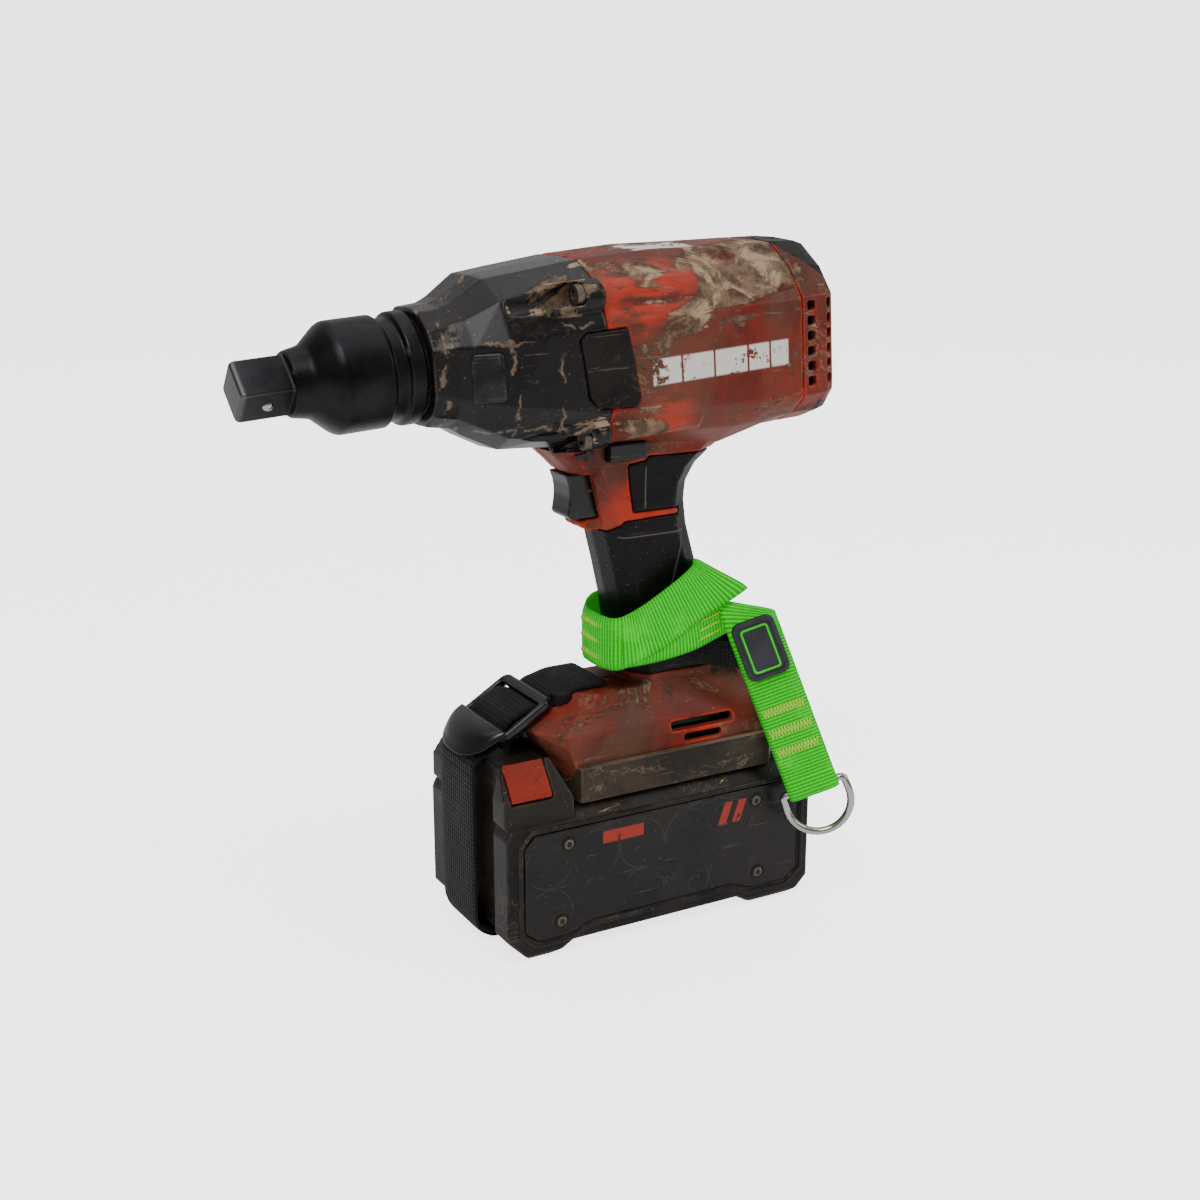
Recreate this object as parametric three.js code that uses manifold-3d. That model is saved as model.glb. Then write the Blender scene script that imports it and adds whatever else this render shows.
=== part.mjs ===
// Cordless impact wrench with a slide-on battery, a square drive adapter and a drop tether.
// Millimetres, +Z up. The nose points along -X and the object stands on its battery.
// The origin is the centre of the end face of the drive square. Two nested groups place the
// pieces: `base` has its origin on the ground under the middle of the battery, and `barrel`
// has its X axis on the drive axis, which dips a little towards the nose.

import * as THREE from "three";
import { mergeVertices } from "three/addons/utils/BufferGeometryUtils.js";
import Module from "manifold-3d";

const wasm = await Module();
wasm.setup();

// ---- Driving dimensions ----

const DIP = THREE.MathUtils.degToRad(3.6); // drive axis below the horizontal, towards the nose
const AXIS_HEIGHT = 281.5; // drive axis above the ground, over the middle of the battery
const TIP = 186.6; // drive axis: from there to the end of the drive square
const GAP = 0.3; // clearance between pieces that touch
const SQUARE = 19.05; // three-quarter inch drive square
const WALL = 3; // moulded wall of the housing

const BATTERY = { length: 168, width: 82.6, deck: 71, channel: 27 };
const WEB_GREEN = 25.4; // width of the green webbing
const WEB_BLACK = 38; // width of the black webbing

const GEAR = { module: 1, sun: 12, planet: 18, ring: 48, front: -25, rear: -15 };
const ORBIT = ((GEAR.sun + GEAR.planet) / 2) * GEAR.module;

// ---- Materials ----

function finish(color, roughness, metalness = 0) {
  return { color, roughness, metalness };
}
const RED = finish(0x9a3a2b, 0.55);
const BLACK = finish(0x1d1c21, 0.5);
const RUBBER = finish(0x26242a, 0.8);
const CASE_GREY = finish(0x2f2d31, 0.6);
const BLACK_STEEL = finish(0x1e1d1f, 0.35, 0.9);
const STEEL = finish(0xa9a9ac, 0.3, 1);
const ALUMINIUM = finish(0x9b9ca0, 0.45, 1);
const BRONZE = finish(0x9c7440, 0.4, 1);
const COPPER = finish(0xb06a3a, 0.4, 1);
const BOARD = finish(0x1f5a36, 0.5);
const CLEAR = finish(0xd9dde0, 0.15);
const GREEN_WEB = finish(0x2fe81f, 0.7);
const BLACK_WEB = finish(0x141416, 0.85);

// ---- Solids ----

// A closed three.js geometry as a solid with its faces pointing out.
function solid(geometry) {
  const bare = geometry.clone();
  for (const name of Object.keys(bare.attributes)) {
    if (name !== "position") bare.deleteAttribute(name);
  }
  const merged = mergeVertices(bare, 1e-4);
  const points = merged.attributes.position;
  const [a, b, c] = [new THREE.Vector3(), new THREE.Vector3(), new THREE.Vector3()];
  const corners = [];
  let volume = 0;
  for (let i = 0; i < merged.index.count; i += 3) {
    const tri = [0, 1, 2].map((k) => merged.index.getX(i + k));
    if (new Set(tri).size < 3) continue;
    a.fromBufferAttribute(points, tri[0]);
    b.fromBufferAttribute(points, tri[1]);
    c.fromBufferAttribute(points, tri[2]);
    volume += a.dot(b.cross(c));
    corners.push(tri);
  }
  const triVerts = corners.flatMap((tri) => (volume < 0 ? [tri[0], tri[2], tri[1]] : tri));
  return new wasm.Manifold(
    new wasm.Mesh({
      numProp: 3,
      vertProperties: new Float32Array(points.array),
      triVerts: new Uint32Array(triVerts),
    }),
  );
}

function placed(body, matrix) {
  return body.transform(matrix.elements);
}

function moved(body, x, y, z) {
  return placed(body, new THREE.Matrix4().makeTranslation(x, y, z));
}

function mirrored(body) {
  return placed(body, new THREE.Matrix4().makeScale(1, -1, 1));
}

function joined(...bodies) {
  return bodies.reduce((sum, body) => sum.add(body));
}

function cut(body, ...tools) {
  return tools.reduce((rest, tool) => rest.subtract(tool), body);
}

function box(x, y, z) {
  const geometry = new THREE.BoxGeometry(x[1] - x[0], y[1] - y[0], z[1] - z[0]);
  geometry.translate((x[0] + x[1]) / 2, (y[0] + y[1]) / 2, (z[0] + z[1]) / 2);
  return solid(geometry);
}

// A rod along X, from one end to the other, with its axis at (y, z).
function rodX(from, to, radius, y = 0, z = 0, sides = 16) {
  const geometry = new THREE.CylinderGeometry(radius, radius, to - from, sides);
  geometry.rotateZ(-Math.PI / 2);
  geometry.translate((from + to) / 2, y, z);
  return solid(geometry);
}

function rodY(from, to, radius, x = 0, z = 0, sides = 16) {
  const geometry = new THREE.CylinderGeometry(radius, radius, to - from, sides);
  geometry.translate(x, (from + to) / 2, z);
  return solid(geometry);
}

// A turned piece about the X axis: points are [x, radius], and the outline closes on itself
// or starts and ends on the axis.
function turned(points, sides = 24) {
  const outline = points.map(([x, radius]) => new THREE.Vector2(radius, x));
  const geometry = new THREE.LatheGeometry(outline, sides);
  geometry.rotateZ(-Math.PI / 2);
  return solid(geometry);
}

// A turned ring about the X axis between two radii.
function ringX(from, to, inner, outer, sides = 24) {
  const outline = [[from, inner], [from, outer], [to, outer], [to, inner], [from, inner]];
  return turned(outline, sides);
}

// An outline in X and Z carried across Y.
function slabY(points, from, to) {
  const shape = new THREE.Shape(points.map(([x, z]) => new THREE.Vector2(x, z)));
  const geometry = new THREE.ExtrudeGeometry(shape, { depth: to - from, bevelEnabled: false });
  geometry.rotateX(Math.PI / 2);
  geometry.translate(0, to, 0);
  return solid(geometry);
}

// An outline in X and Y, with holes, carried up Z.
function slabZ(points, from, to, holes = []) {
  const shape = new THREE.Shape(points.map(([x, y]) => new THREE.Vector2(x, y)));
  for (const hole of holes) {
    shape.holes.push(new THREE.Path(hole.map(([x, y]) => new THREE.Vector2(x, y))));
  }
  const geometry = new THREE.ExtrudeGeometry(shape, { depth: to - from, bevelEnabled: false });
  geometry.translate(0, 0, from);
  return solid(geometry);
}

// An outline in Y and Z carried along X.
function slabX(points, from, to) {
  const shape = new THREE.Shape(points.map(([y, z]) => new THREE.Vector2(y, z)));
  const geometry = new THREE.ExtrudeGeometry(shape, { depth: to - from, bevelEnabled: false });
  geometry.applyMatrix4(new THREE.Matrix4().makeBasis(
    new THREE.Vector3(0, 1, 0), new THREE.Vector3(0, 0, 1), new THREE.Vector3(1, 0, 0)));
  geometry.translate(from, 0, 0);
  return solid(geometry);
}

// A skin through rings of points, closed by a fan at each end.
function loft(rings) {
  const count = rings[0].length;
  const positions = rings.flat().flatMap((p) => [p.x, p.y, p.z]);
  const index = [];
  for (let i = 0; i + 1 < rings.length; i += 1) {
    for (let j = 0; j < count; j += 1) {
      const [a, b] = [i * count + j, i * count + ((j + 1) % count)];
      index.push(a, b, b + count, a, b + count, a + count);
    }
  }
  for (const end of [0, rings.length - 1]) {
    const middle = rings[end].reduce((sum, p) => sum.add(p), new THREE.Vector3());
    middle.divideScalar(count);
    const centre = positions.length / 3;
    positions.push(middle.x, middle.y, middle.z);
    for (let j = 0; j < count; j += 1) {
      const [a, b] = [end * count + j, end * count + ((j + 1) % count)];
      if (end === 0) index.push(centre, b, a);
      else index.push(centre, a, b);
    }
  }
  const geometry = new THREE.BufferGeometry();
  geometry.setAttribute("position", new THREE.Float32BufferAttribute(positions, 3));
  geometry.setIndex(index);
  return solid(geometry);
}

// Both halves of an outline that runs from the top to the bottom at y >= 0.
function bothSides(half) {
  const other = half.slice(1, -1).reverse().map(([y, z]) => [-y, z]);
  return [...half, ...other];
}

// A barrel skin: each section is [u, half outline of [y, v]], drawn in by `inset`.
function barrelSkin(sections, inset = 0) {
  const widest = 42;
  const factor = (widest - inset) / widest;
  return loft(sections.map(([u, half]) => bothSides(half).map(
    ([y, v]) => new THREE.Vector3(u, y * factor, v * factor))));
}

// A skin stacked up Z: each section is [z, half outline of [x, y]], drawn in by `inset`.
function stackSkin(sections, inset = 0) {
  return loft(sections.map(([z, half]) => {
    const front = half[0][0];
    const back = half[half.length - 1][0];
    const widest = Math.max(...half.map(([, y]) => y));
    const middle = (front + back) / 2;
    const alongFactor = (back - front - 2 * inset) / (back - front);
    const acrossFactor = (widest - inset) / widest;
    const ring = [...half, ...half.slice(1, -1).reverse().map(([x, y]) => [x, -y])];
    return ring.map(([x, y]) => new THREE.Vector3(
      middle + (x - middle) * alongFactor, y * acrossFactor, z));
  }));
}

// ---- Frames ----

const object = new THREE.Group();
const base = new THREE.Group();
base.position.set(TIP * Math.cos(DIP), 0, TIP * Math.sin(DIP) - AXIS_HEIGHT);
const barrel = new THREE.Group();
barrel.position.set(0, 0, AXIS_HEIGHT);
barrel.rotation.y = -DIP;
base.add(barrel);
object.add(base);

const barrelToBase = new THREE.Matrix4().makeRotationY(-DIP).setPosition(0, 0, AXIS_HEIGHT);

function inBase(body) {
  return placed(body, barrelToBase);
}

function add(group, name, body, look) {
  const { vertProperties, triVerts } = body.getMesh();
  const geometry = new THREE.BufferGeometry();
  geometry.setAttribute("position", new THREE.Float32BufferAttribute(vertProperties, 3));
  geometry.setIndex(new THREE.Uint32BufferAttribute(triVerts, 1));
  const mesh = new THREE.Mesh(geometry, new THREE.MeshStandardMaterial(look));
  mesh.name = name;
  group.add(mesh);
}

// ---- Outlines of the barrel: [u, half outline from the top to the bottom] ----

const SEAM = -31.5; // where the black guard meets the red housing
const CAP_SEAM = 70.5; // where the red housing meets the rear cover

const guardSections = [
  [-107, [[0, 25.6], [12, 24.6], [21, 18], [26, 9], [26, -10], [21, -19], [12, -25], [0, -25.6]]],
  [-96.5, [[0, 26], [13, 25], [23, 19.5], [29.5, 10], [30, -12], [23, -21], [13, -27], [0, -28]]],
  [-91, [[0, 27.5], [14, 27], [26, 21], [34, 10], [34.5, -14], [27, -24], [14, -31], [0, -32]]],
  [-77, [[0, 36], [16, 35.4], [31, 27.5], [40, 11], [41, -17], [32, -31], [18, -38.5], [0, -40]]],
  [-60, [[0, 37.4], [17, 36.8], [34, 29], [42, 12], [42, -20], [34, -33.5], [19, -40.2], [0, -41.7]]],
  [SEAM - GAP, [[0, 39.4], [17, 39], [35, 30], [42, 13], [42, -26], [34, -37], [19, -43.8], [0, -45.3]]],
];

const seamOutline = [
  [0, 39.4], [17, 39], [35, 30], [42, 13], [42, -26], [34, -37.5], [19, -44.3], [0, -45.8],
];
const capOutline = [[0, 36.6], [17, 36], [32, 26], [42, 12.6], [42, -33], [33, -41.5], [18, -48], [0, -49.2]];
const shellSections = [
  [SEAM, seamOutline],
  [5, [[0, 40.2], [18, 39.5], [34, 29.5], [42, 12.6], [42, -28.5], [34, -40], [19, -49.5], [0, -50.8]]],
  [36, [[0, 38.4], [18, 37.7], [33, 28], [42, 12.6], [42, -31], [34, -43], [19, -53], [0, -54.5]]],
  [60, [[0, 37.2], [17, 36.6], [32, 26.5], [42, 12.6], [42, -32.5], [34, -42], [18, -48.2], [0, -49.6]]],
  [CAP_SEAM, capOutline],
];

const capSections = [
  [CAP_SEAM + GAP, capOutline],
  [84, [[0, 36], [16, 35.4], [31, 25.5], [41.6, 13], [41.6, -32.5], [33, -42], [18, -48], [0, -49.2]]],
  [89, [[0, 34], [16, 33.4], [30, 24], [38.5, 13], [38.5, -32], [31, -41.5], [17, -47.5], [0, -48.6]]],
  [94, [[0, 26], [14, 25], [24, 19], [32, 11], [32, -29], [25, -38], [15, -44.5], [0, -45.5]]],
  [97.5, [[0, 14], [12, 13.5], [20, 11], [27, 7], [27, -24], [21, -30], [13, -33], [0, -34]]],
];

// ---- Drive line ----

const SLEEVE_END = -108.6;

// The cross pin that holds the adapter on the anvil, turned a little up on the left.
const PIN = { u: -119.5, half: 21, turn: THREE.MathUtils.degToRad(13) };

function pinRod(half, radius) {
  return placed(rodY(-half, half, radius, 0, 0, 14), new THREE.Matrix4()
    .makeRotationX(-PIN.turn).setPosition(PIN.u, 0, 0));
}

// A square bar along X that stands on its corner, with small flats on its corners.
function squareBar(from, to, side, flat = 0.9) {
  const half = side / 2;
  const outline = [];
  for (let k = 0; k < 4; k += 1) {
    const turn = Math.PI / 4 + (k * Math.PI) / 2;
    const [c, s] = [Math.cos(turn), Math.sin(turn)];
    for (const [y, z] of [[half, half - flat], [half - flat, half]]) {
      outline.push([y * c - z * s, y * s + z * c]);
    }
  }
  return slabX(outline, from, to);
}

const BALL = { u: -174, radius: 2.9 }; // detent ball, in the lower face of the square on the left
const ballDirection = new THREE.Vector3(0, -Math.SQRT1_2, -Math.SQRT1_2);

function driveAdapter() {
  const body = turned([
    [-163.5, 0], [-163.5, 13.6], [-162.6, 14.2], [-155, 15.7], [-146.5, 23], [-144, 24.3],
    [-123.4, 24.3], [-122.4, 22.2], [-116.6, 22.2], [-115.6, 24.6], [-109.6, 24.6],
    [SLEEVE_END, 23.6], [SLEEVE_END, 0],
  ], 32);
  const tang = squareBar(-TIP, -160, SQUARE);
  const socket = squareBar(-134, SLEEVE_END + 1, SQUARE + 2 * GAP, 0.6);
  const pinHole = pinRod(30, 2.75);
  const well = ballWell(BALL.radius + 0.35, SQUARE / 2 - 7.5, SQUARE);
  return cut(joined(body, tang), socket, pinHole, well);
}

// A round hole from one depth to another along the direction of the detent ball.
function ballWell(radius, from, to) {
  const geometry = new THREE.CylinderGeometry(radius, radius, to - from, 16);
  geometry.translate(0, (from + to) / 2, 0);
  const turn = new THREE.Quaternion().setFromUnitVectors(new THREE.Vector3(0, 1, 0), ballDirection);
  geometry.applyQuaternion(turn);
  geometry.translate(BALL.u, 0, 0);
  return solid(geometry);
}

function detentBall() {
  const centre = ballDirection.clone().multiplyScalar(SQUARE / 2 - 1.3);
  return moved(solid(new THREE.SphereGeometry(BALL.radius, 12, 8)), BALL.u + centre.x, centre.y, centre.z);
}

add(barrel, "drive_adapter", driveAdapter(), BLACK_STEEL);
add(barrel, "detent_ball", detentBall(), STEEL);
add(barrel, "retaining_pin", pinRod(PIN.half, 2.3), STEEL);

function anvil() {
  const square = squareBar(-132, -105, SQUARE);
  const journal = turned([
    [-106, 0], [-106, 12.4], [-85, 12.4], [-85, 17], [-78, 17], [-78, 0],
  ]);
  const ears = box([-84, -78], [-27, 27], [-7, 7]).intersect(rodX(-84, -78, 27, 0, 0, 24));
  const pinHole = pinRod(30, 2.6);
  return cut(joined(square, journal, ears), pinHole, rodX(-83, -77, 6.5));
}

add(barrel, "anvil", anvil(), STEEL);
add(barrel, "nose_bush", ringX(-104, -87, 12.7, 16.5), BRONZE);

function hammerCase() {
  return turned([
    [-105.6, 16.8], [-105.6, 20.5], [-96, 21.5], [-89, 25.5], [-76, 32], [SEAM - 1, 33.6],
    [SEAM - 1, 30.6], [-76, 30], [-86, 28], [-86, 16.8], [-105.6, 16.8],
  ], 28);
}

add(barrel, "hammer_case", hammerCase(), ALUMINIUM);

function hammer() {
  const ring = ringX(-75, -50, 9.6, 29, 28);
  const lug = box([-84, -73], [-7, 7], [18, 30]).intersect(rodX(-84, -73, 27.4, 0, 0, 28));
  const turnedOver = placed(lug, new THREE.Matrix4().makeRotationX(Math.PI));
  const springSeat = ringX(-54, -49, 16, 25);
  return cut(joined(ring, lug, turnedOver), springSeat);
}

add(barrel, "hammer", hammer(), STEEL);

class Helix extends THREE.Curve {
  constructor(from, to, radius, turns) {
    super();
    Object.assign(this, { from, to, radius, turns });
  }

  getPoint(t, target = new THREE.Vector3()) {
    const angle = t * this.turns * 2 * Math.PI;
    return target.set(
      this.from + (this.to - this.from) * t, this.radius * Math.cos(angle), this.radius * Math.sin(angle));
  }
}

function roundSection(radius, sides) {
  const shape = new THREE.Shape();
  for (let k = 0; k < sides; k += 1) {
    const angle = (k / sides) * 2 * Math.PI;
    const point = [radius * Math.cos(angle), radius * Math.sin(angle)];
    if (k === 0) shape.moveTo(...point);
    else shape.lineTo(...point);
  }
  return shape;
}

function hammerSpring() {
  const wire = 1.7;
  const path = new Helix(-54 + wire + GAP, -36.4 - wire, 20.5, 2.5);
  const options = { steps: 32, extrudePath: path, bevelEnabled: false };
  return solid(new THREE.ExtrudeGeometry(roundSection(wire, 6), options));
}

add(barrel, "hammer_spring", hammerSpring(), STEEL);

const planetAngles = [0, 1, 2].map((k) => Math.PI / 2 + (k * 2 * Math.PI) / 3);

function spindle() {
  const shaft = turned([[-82, 0], [-82, 6], [-76, 6], [-76, 9], [-34, 9], [-34, 0]], 24);
  const carrier = rodX(-35.6, -27, 23, 0, 0, 24);
  const pins = planetAngles.map((a) => rodX(
    -28, GEAR.rear + 1, 2.5, ORBIT * Math.cos(a), ORBIT * Math.sin(a), 12));
  return cut(joined(shaft, carrier, ...pins), rodX(-32, -20, 5));
}

add(barrel, "spindle", spindle(), STEEL);

// Outline of a gear: `out` is 1 for teeth on the outside and -1 for a ring gear.
function gearOutline(teeth, out, phase = 0) {
  const pitch = (teeth * GEAR.module) / 2;
  const step = (2 * Math.PI) / teeth;
  const outline = [];
  for (let k = 0; k < teeth; k += 1) {
    const centre = phase + k * step;
    const foot = pitch - out * 1.25 * GEAR.module;
    const tip = pitch + out * 0.8 * GEAR.module;
    for (const [radius, share] of [[foot, -0.3], [tip, -0.11], [tip, 0.11], [foot, 0.3]]) {
      outline.push([radius * Math.cos(centre + share * step), radius * Math.sin(centre + share * step)]);
    }
  }
  return outline;
}

const sunTeeth = slabX(gearOutline(GEAR.sun, 1), GEAR.front, GEAR.rear);

for (const [k, angle] of planetAngles.entries()) {
  const gapTowardsSun = angle + Math.PI + Math.PI / GEAR.planet;
  const teeth = slabX(gearOutline(GEAR.planet, 1, gapTowardsSun), GEAR.front, GEAR.rear);
  const bored = cut(teeth, rodX(GEAR.front - 1, GEAR.rear + 1, 2.9, 0, 0, 12));
  const centred = moved(bored, 0, ORBIT * Math.cos(angle), ORBIT * Math.sin(angle));
  add(barrel, `planet_${k + 1}`, centred, STEEL);
}

function ringGear() {
  const blank = rodX(GEAR.front - 1, GEAR.rear + 3, 31, 0, 0, 32);
  return cut(blank, slabX(gearOutline(GEAR.ring, -1), GEAR.front - 2, GEAR.rear + 4));
}

add(barrel, "ring_gear", ringGear(), STEEL);

function rotor() {
  const shaft = rodX(GEAR.front, 82, 4, 0, 0, 16);
  const core = rodX(6, 50, 13, 0, 0, 24);
  return joined(sunTeeth, shaft, core);
}

function fan() {
  const hub = ringX(58, 68, 4.3, 9, 24);
  const plate = ringX(58, 59.6, 8, 28, 24);
  const blades = Array.from({ length: 9 }, (_, k) => placed(
    box([59, 68], [-0.7, 0.7], [8, 27]),
    new THREE.Matrix4().makeRotationX((k * 2 * Math.PI) / 9)));
  return joined(hub, plate, ...blades);
}

function stator() {
  const yoke = ringX(4, 54, 23, 29.5, 28);
  const teeth = Array.from({ length: 6 }, (_, k) => placed(
    box([8, 50], [-5, 5], [13.8, 24]), new THREE.Matrix4().makeRotationX((k * Math.PI) / 3)));
  return cut(joined(yoke, ...teeth), rodX(0, 60, 13.8, 0, 0, 24));
}

add(barrel, "rotor", rotor(), STEEL);
add(barrel, "fan", fan(), BLACK);
add(barrel, "stator", stator(), COPPER);
add(barrel, "rear_bearing", ringX(71.5, 79, 4.3, 11, 24), STEEL);
add(barrel, "front_bearing", ringX(-9, -2, 4.3, 11, 24), STEEL);

// ---- Front guard ----

const BOSS = [[34.5, 25], [33.5, -34]]; // screw posts, [y, v], on each side
const BOSS_RADIUS = 7.8;
const SCREW_OUT = 1.07; // the screws sit a little outside the middle of their posts

function atBosses(make) {
  return BOSS.flatMap(([y, v]) => [make(y, v), make(-y, v)]);
}

// The pads lie in a shallow pocket in each side of the guard and the housing.
const padOutline = [[-45, 8], [-42, 10.5], [-22, 10.5], [-17, -20], [-19, -24], [-38, -22.5], [-42, -17]];

function padPocket(grow) {
  const [cu, cv] = [-31.5, -6];
  const outline = padOutline.map(([u, v]) => [
    u + Math.sign(u - cu) * grow, v + Math.sign(v - cv) * grow]);
  return slabY(outline, 40.2 - grow, 50);
}

function frontGuard() {
  const skin = barrelSkin(guardSections);
  const posts = atBosses((y, v) => rodX(-57, SEAM - GAP, BOSS_RADIUS, y, v));
  const scoops = atBosses((y, v) => rodX(-75, -41, 6, y * SCREW_OUT, v * SCREW_OUT, 16));
  const hollow = turned([
    [-108, 0], [-108, 21], [-96, 22], [-89, 26], [-76, 32.5], [-60, 33.4],
    [SEAM, 34.2], [-30, 34.2], [-30, 0],
  ], 28);
  const padLeft = mirrored(padPocket(GAP));
  return cut(joined(skin, ...posts), ...scoops, hollow, padPocket(GAP), padLeft);
}

add(barrel, "front_guard", frontGuard(), BLACK);
add(barrel, "pad_left", cut(mirrored(padPocket(0)), box([-60, 0], [-60, -43.2], [-40, 30])), RUBBER);
add(barrel, "pad_right", cut(padPocket(0), box([-60, 0], [43.2, 60], [-40, 30])), RUBBER);

const screwSpots = atBosses((y, v) => [y * SCREW_OUT, v * SCREW_OUT]);
for (const [k, [y, v]] of screwSpots.entries()) {
  const socket = rodX(-46, -43, 2.2, y, v, 6);
  add(barrel, `guard_screw_${k + 1}`, cut(rodX(-44.6, -41 - GAP, 4.6, y, v, 16), socket), STEEL);
}

// ---- Housing: barrel, handle and foot in one pair of clamshells ----

const handleSections = [
  [115, [[-3, 0], [-1.5, 11], [6, 18.6], [38, 18.6], [48, 12], [52, 0]]],
  [135, [[-6, 0], [-4.5, 11], [3, 19], [35, 19], [44, 12], [48, 0]]],
  [158, [[-9.5, 0], [-8, 11], [-1, 19], [28, 19], [37, 12], [41, 0]]],
  [176, [[-13.5, 0], [-12, 11], [-5, 19], [23, 19], [32, 12], [36, 0]]],
  [192, [[-17.5, 0], [-16, 11], [-10, 19], [18, 19], [27.5, 12], [31, 0]]],
  [204, [[-21, 0], [-20, 12], [-15, 19], [17, 19], [26, 12], [29.5, 0]]],
  [213, [[-22.5, 0], [-22, 13], [-18, 19], [18, 19], [27, 12], [30.5, 0]]],
  [221, [[-24.5, 0], [-24, 14], [-21, 19.3], [22, 19.3], [32, 12], [36, 0]]],
  [227, [[-27, 0], [-26.5, 15], [-24, 20], [28, 20], [40, 12], [45, 0]]],
  [236, [[-30, 0], [-29.5, 15], [-28, 21], [38, 21], [53, 12], [58, 0]]],
];

const bracketSections = [
  [221.6, [[-34.5, 0], [-33.5, 9], [-29, 16], [-14, 16], [-11, 9], [-10, 0]]],
  [226, [[-38.5, 0], [-37.5, 10], [-32, 18.6], [-14, 18.6], [-11, 9], [-10, 0]]],
  [234, [[-47, 0], [-46, 11], [-38, 19.6], [-14, 19.6], [-11, 9], [-10, 0]]],
];

const footSections = [
  [74, [[-45, 0], [-45, 22], [-41, 36], [58, 36], [65, 29], [65, 0]]],
  [90, [[-51, 0], [-51, 22], [-45, 36], [60, 36], [67, 29], [67, 0]]],
  [97, [[-55, 0], [-55, 20], [-47, 34.6], [60, 34.6], [67, 28], [67, 0]]],
  [103.5, [[-59, 0], [-58, 18], [-47, 31.5], [58, 31.5], [65, 25], [65, 0]]],
  [111, [[-47, 0], [-46, 14], [-38, 25], [55, 25], [61, 20], [61, 0]]],
  [117, [[-35, 0], [-34, 10], [-28, 19], [52, 19], [56, 14], [56, 0]]],
];

// Where the black grip covers the handle, seen from the side: [x, z].
const gripOutline = [
  [-70, 122], [90, 122], [90, 226], [2, 228], [0.5, 225.8], [-8.5, 224.8], [-5, 202], [20, 202],
  [20, 198.8], [-10, 198], [-15, 193], [-70, 193],
];
const gripOutlineGrown = [
  [-70, 122 - GAP], [90, 122 - GAP], [90, 226 + GAP], [1.8, 228 + GAP], [0.2, 225.8 + GAP],
  [-8.9, 224.8 + GAP], [-5.4, 202 - GAP], [20 - GAP, 202 - GAP], [20 - GAP, 198.8 + GAP],
  [-10.1, 198 + GAP], [-15.1, 193 + GAP], [-70, 193 + GAP],
];
const GRIP_THICK = 2.6;

const KEY = { x: -39, y: -9, z: 114.2, radius: 5 }; // torque mode key on the front slope of the foot
const SWITCH = { x: [-21, -2], z: [228.4, 236.4] };
const TRIGGER = { back: -13, z: [199.3, 221], y: 8.6, travel: 8 };

function housing() {
  const posts = atBosses((y, v) => rodX(SEAM, 16, BOSS_RADIUS - 1.4, y, v));
  const barrelShell = inBase(joined(barrelSkin(shellSections), ...posts));
  const handle = stackSkin(handleSections);
  const underGrip = stackSkin(handleSections, GRIP_THICK + GAP);
  const handleShell = joined(underGrip, cut(handle, slabY(gripOutlineGrown, -60, 60)));
  const lipOutline = [[-27, 195.6], [-24, 193.6], [-10, 193.6], [-10, 199], [-24, 199], [-27, 198]];
  const lip = slabY(lipOutline, -9, 9);
  const gripRoom = stackSkin(handleSections, -GAP).intersect(slabY(gripOutlineGrown, -60, 60));
  const guardRoom = inBase(barrelSkin(guardSections.map(([u, half], k) => [
    k === guardSections.length - 1 ? SEAM : u, half.map(([y, v]) => [y * 1.01, v * 1.01])])));
  const foot = stackSkin(footSections);
  const together = joined(barrelShell, handleShell, cut(lip, gripRoom), stackSkin(bracketSections), foot);
  const outside = cut(together, guardRoom);

  const barrelHollow = inBase(joined(
    barrelSkin(shellSections.map(([u, half]) => [u + Math.sign(u - 20) * 2, half]), WALL),
    rodX(SEAM - 3, CAP_SEAM + 3, 31.5, 0, 0, 24)));
  const footTop = box([-80, 100], [-60, 60], [100, 112]);
  const handleHollow = cut(stackSkin(handleSections, WALL + GRIP_THICK + GAP), footTop);
  const lowered = footSections.slice(0, 5).map(([z, half], k) => [k === 0 ? z - 2 : z - 3, half]);
  const footHollow = stackSkin(lowered, WALL);
  const railRoom = box([-70, -30], [-24.6, 24.6], [70, 84.6]);
  const reach = TRIGGER.back + TRIGGER.travel + 1;
  const triggerSlot = box(
    [-40, reach], [-TRIGGER.y - GAP, TRIGGER.y + GAP], [TRIGGER.z[0] - GAP, TRIGGER.z[1] + GAP]);
  const switchSlot = box(
    [SWITCH.x[0] - GAP, SWITCH.x[1] + GAP], [-60, 60], [SWITCH.z[0] - GAP, SWITCH.z[1] + GAP]);
  const slots = [[8, 42, 97, 101], [14, 35, 91.4, 94.6]].map(
    ([x0, x1, z0, z1]) => box([x0, x1], [-60, 60], [z0, z1]));
  const lensRoom = box([-70, -52], [-6 - GAP, 6 + GAP], [97 - GAP, 101 + GAP]);
  const keyHole = moved(rodZ(5.4, 6), KEY.x, KEY.y, KEY.z);
  const pads = [inBase(padPocket(GAP)), inBase(mirrored(padPocket(GAP)))];
  return cut(
    outside, barrelHollow, handleHollow, footHollow, railRoom, triggerSlot, switchSlot, ...slots,
    lensRoom, keyHole, ...pads);
}

function rodZ(radius, half) {
  const geometry = new THREE.CylinderGeometry(radius, radius, 2 * half, 20);
  geometry.rotateX(Math.PI / 2);
  return solid(geometry);
}

const shell = housing();
add(base, "housing_left", shell.intersect(box([-200, 200], [-80, -0.15], [0, 400])), RED);
add(base, "housing_right", shell.intersect(box([-200, 200], [0.15, 80], [0, 400])), RED);

function grip() {
  const sleeve = stackSkin(handleSections).intersect(slabY(gripOutline, -60, 60));
  const barrelRoom = inBase(barrelSkin(shellSections.map(([u, half]) => [
    u, half.map(([y, v]) => [y * 1.008, v * 1.008])])));
  return cut(sleeve, stackSkin(handleSections, GRIP_THICK), barrelRoom);
}

add(base, "grip", grip(), RUBBER);

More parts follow.
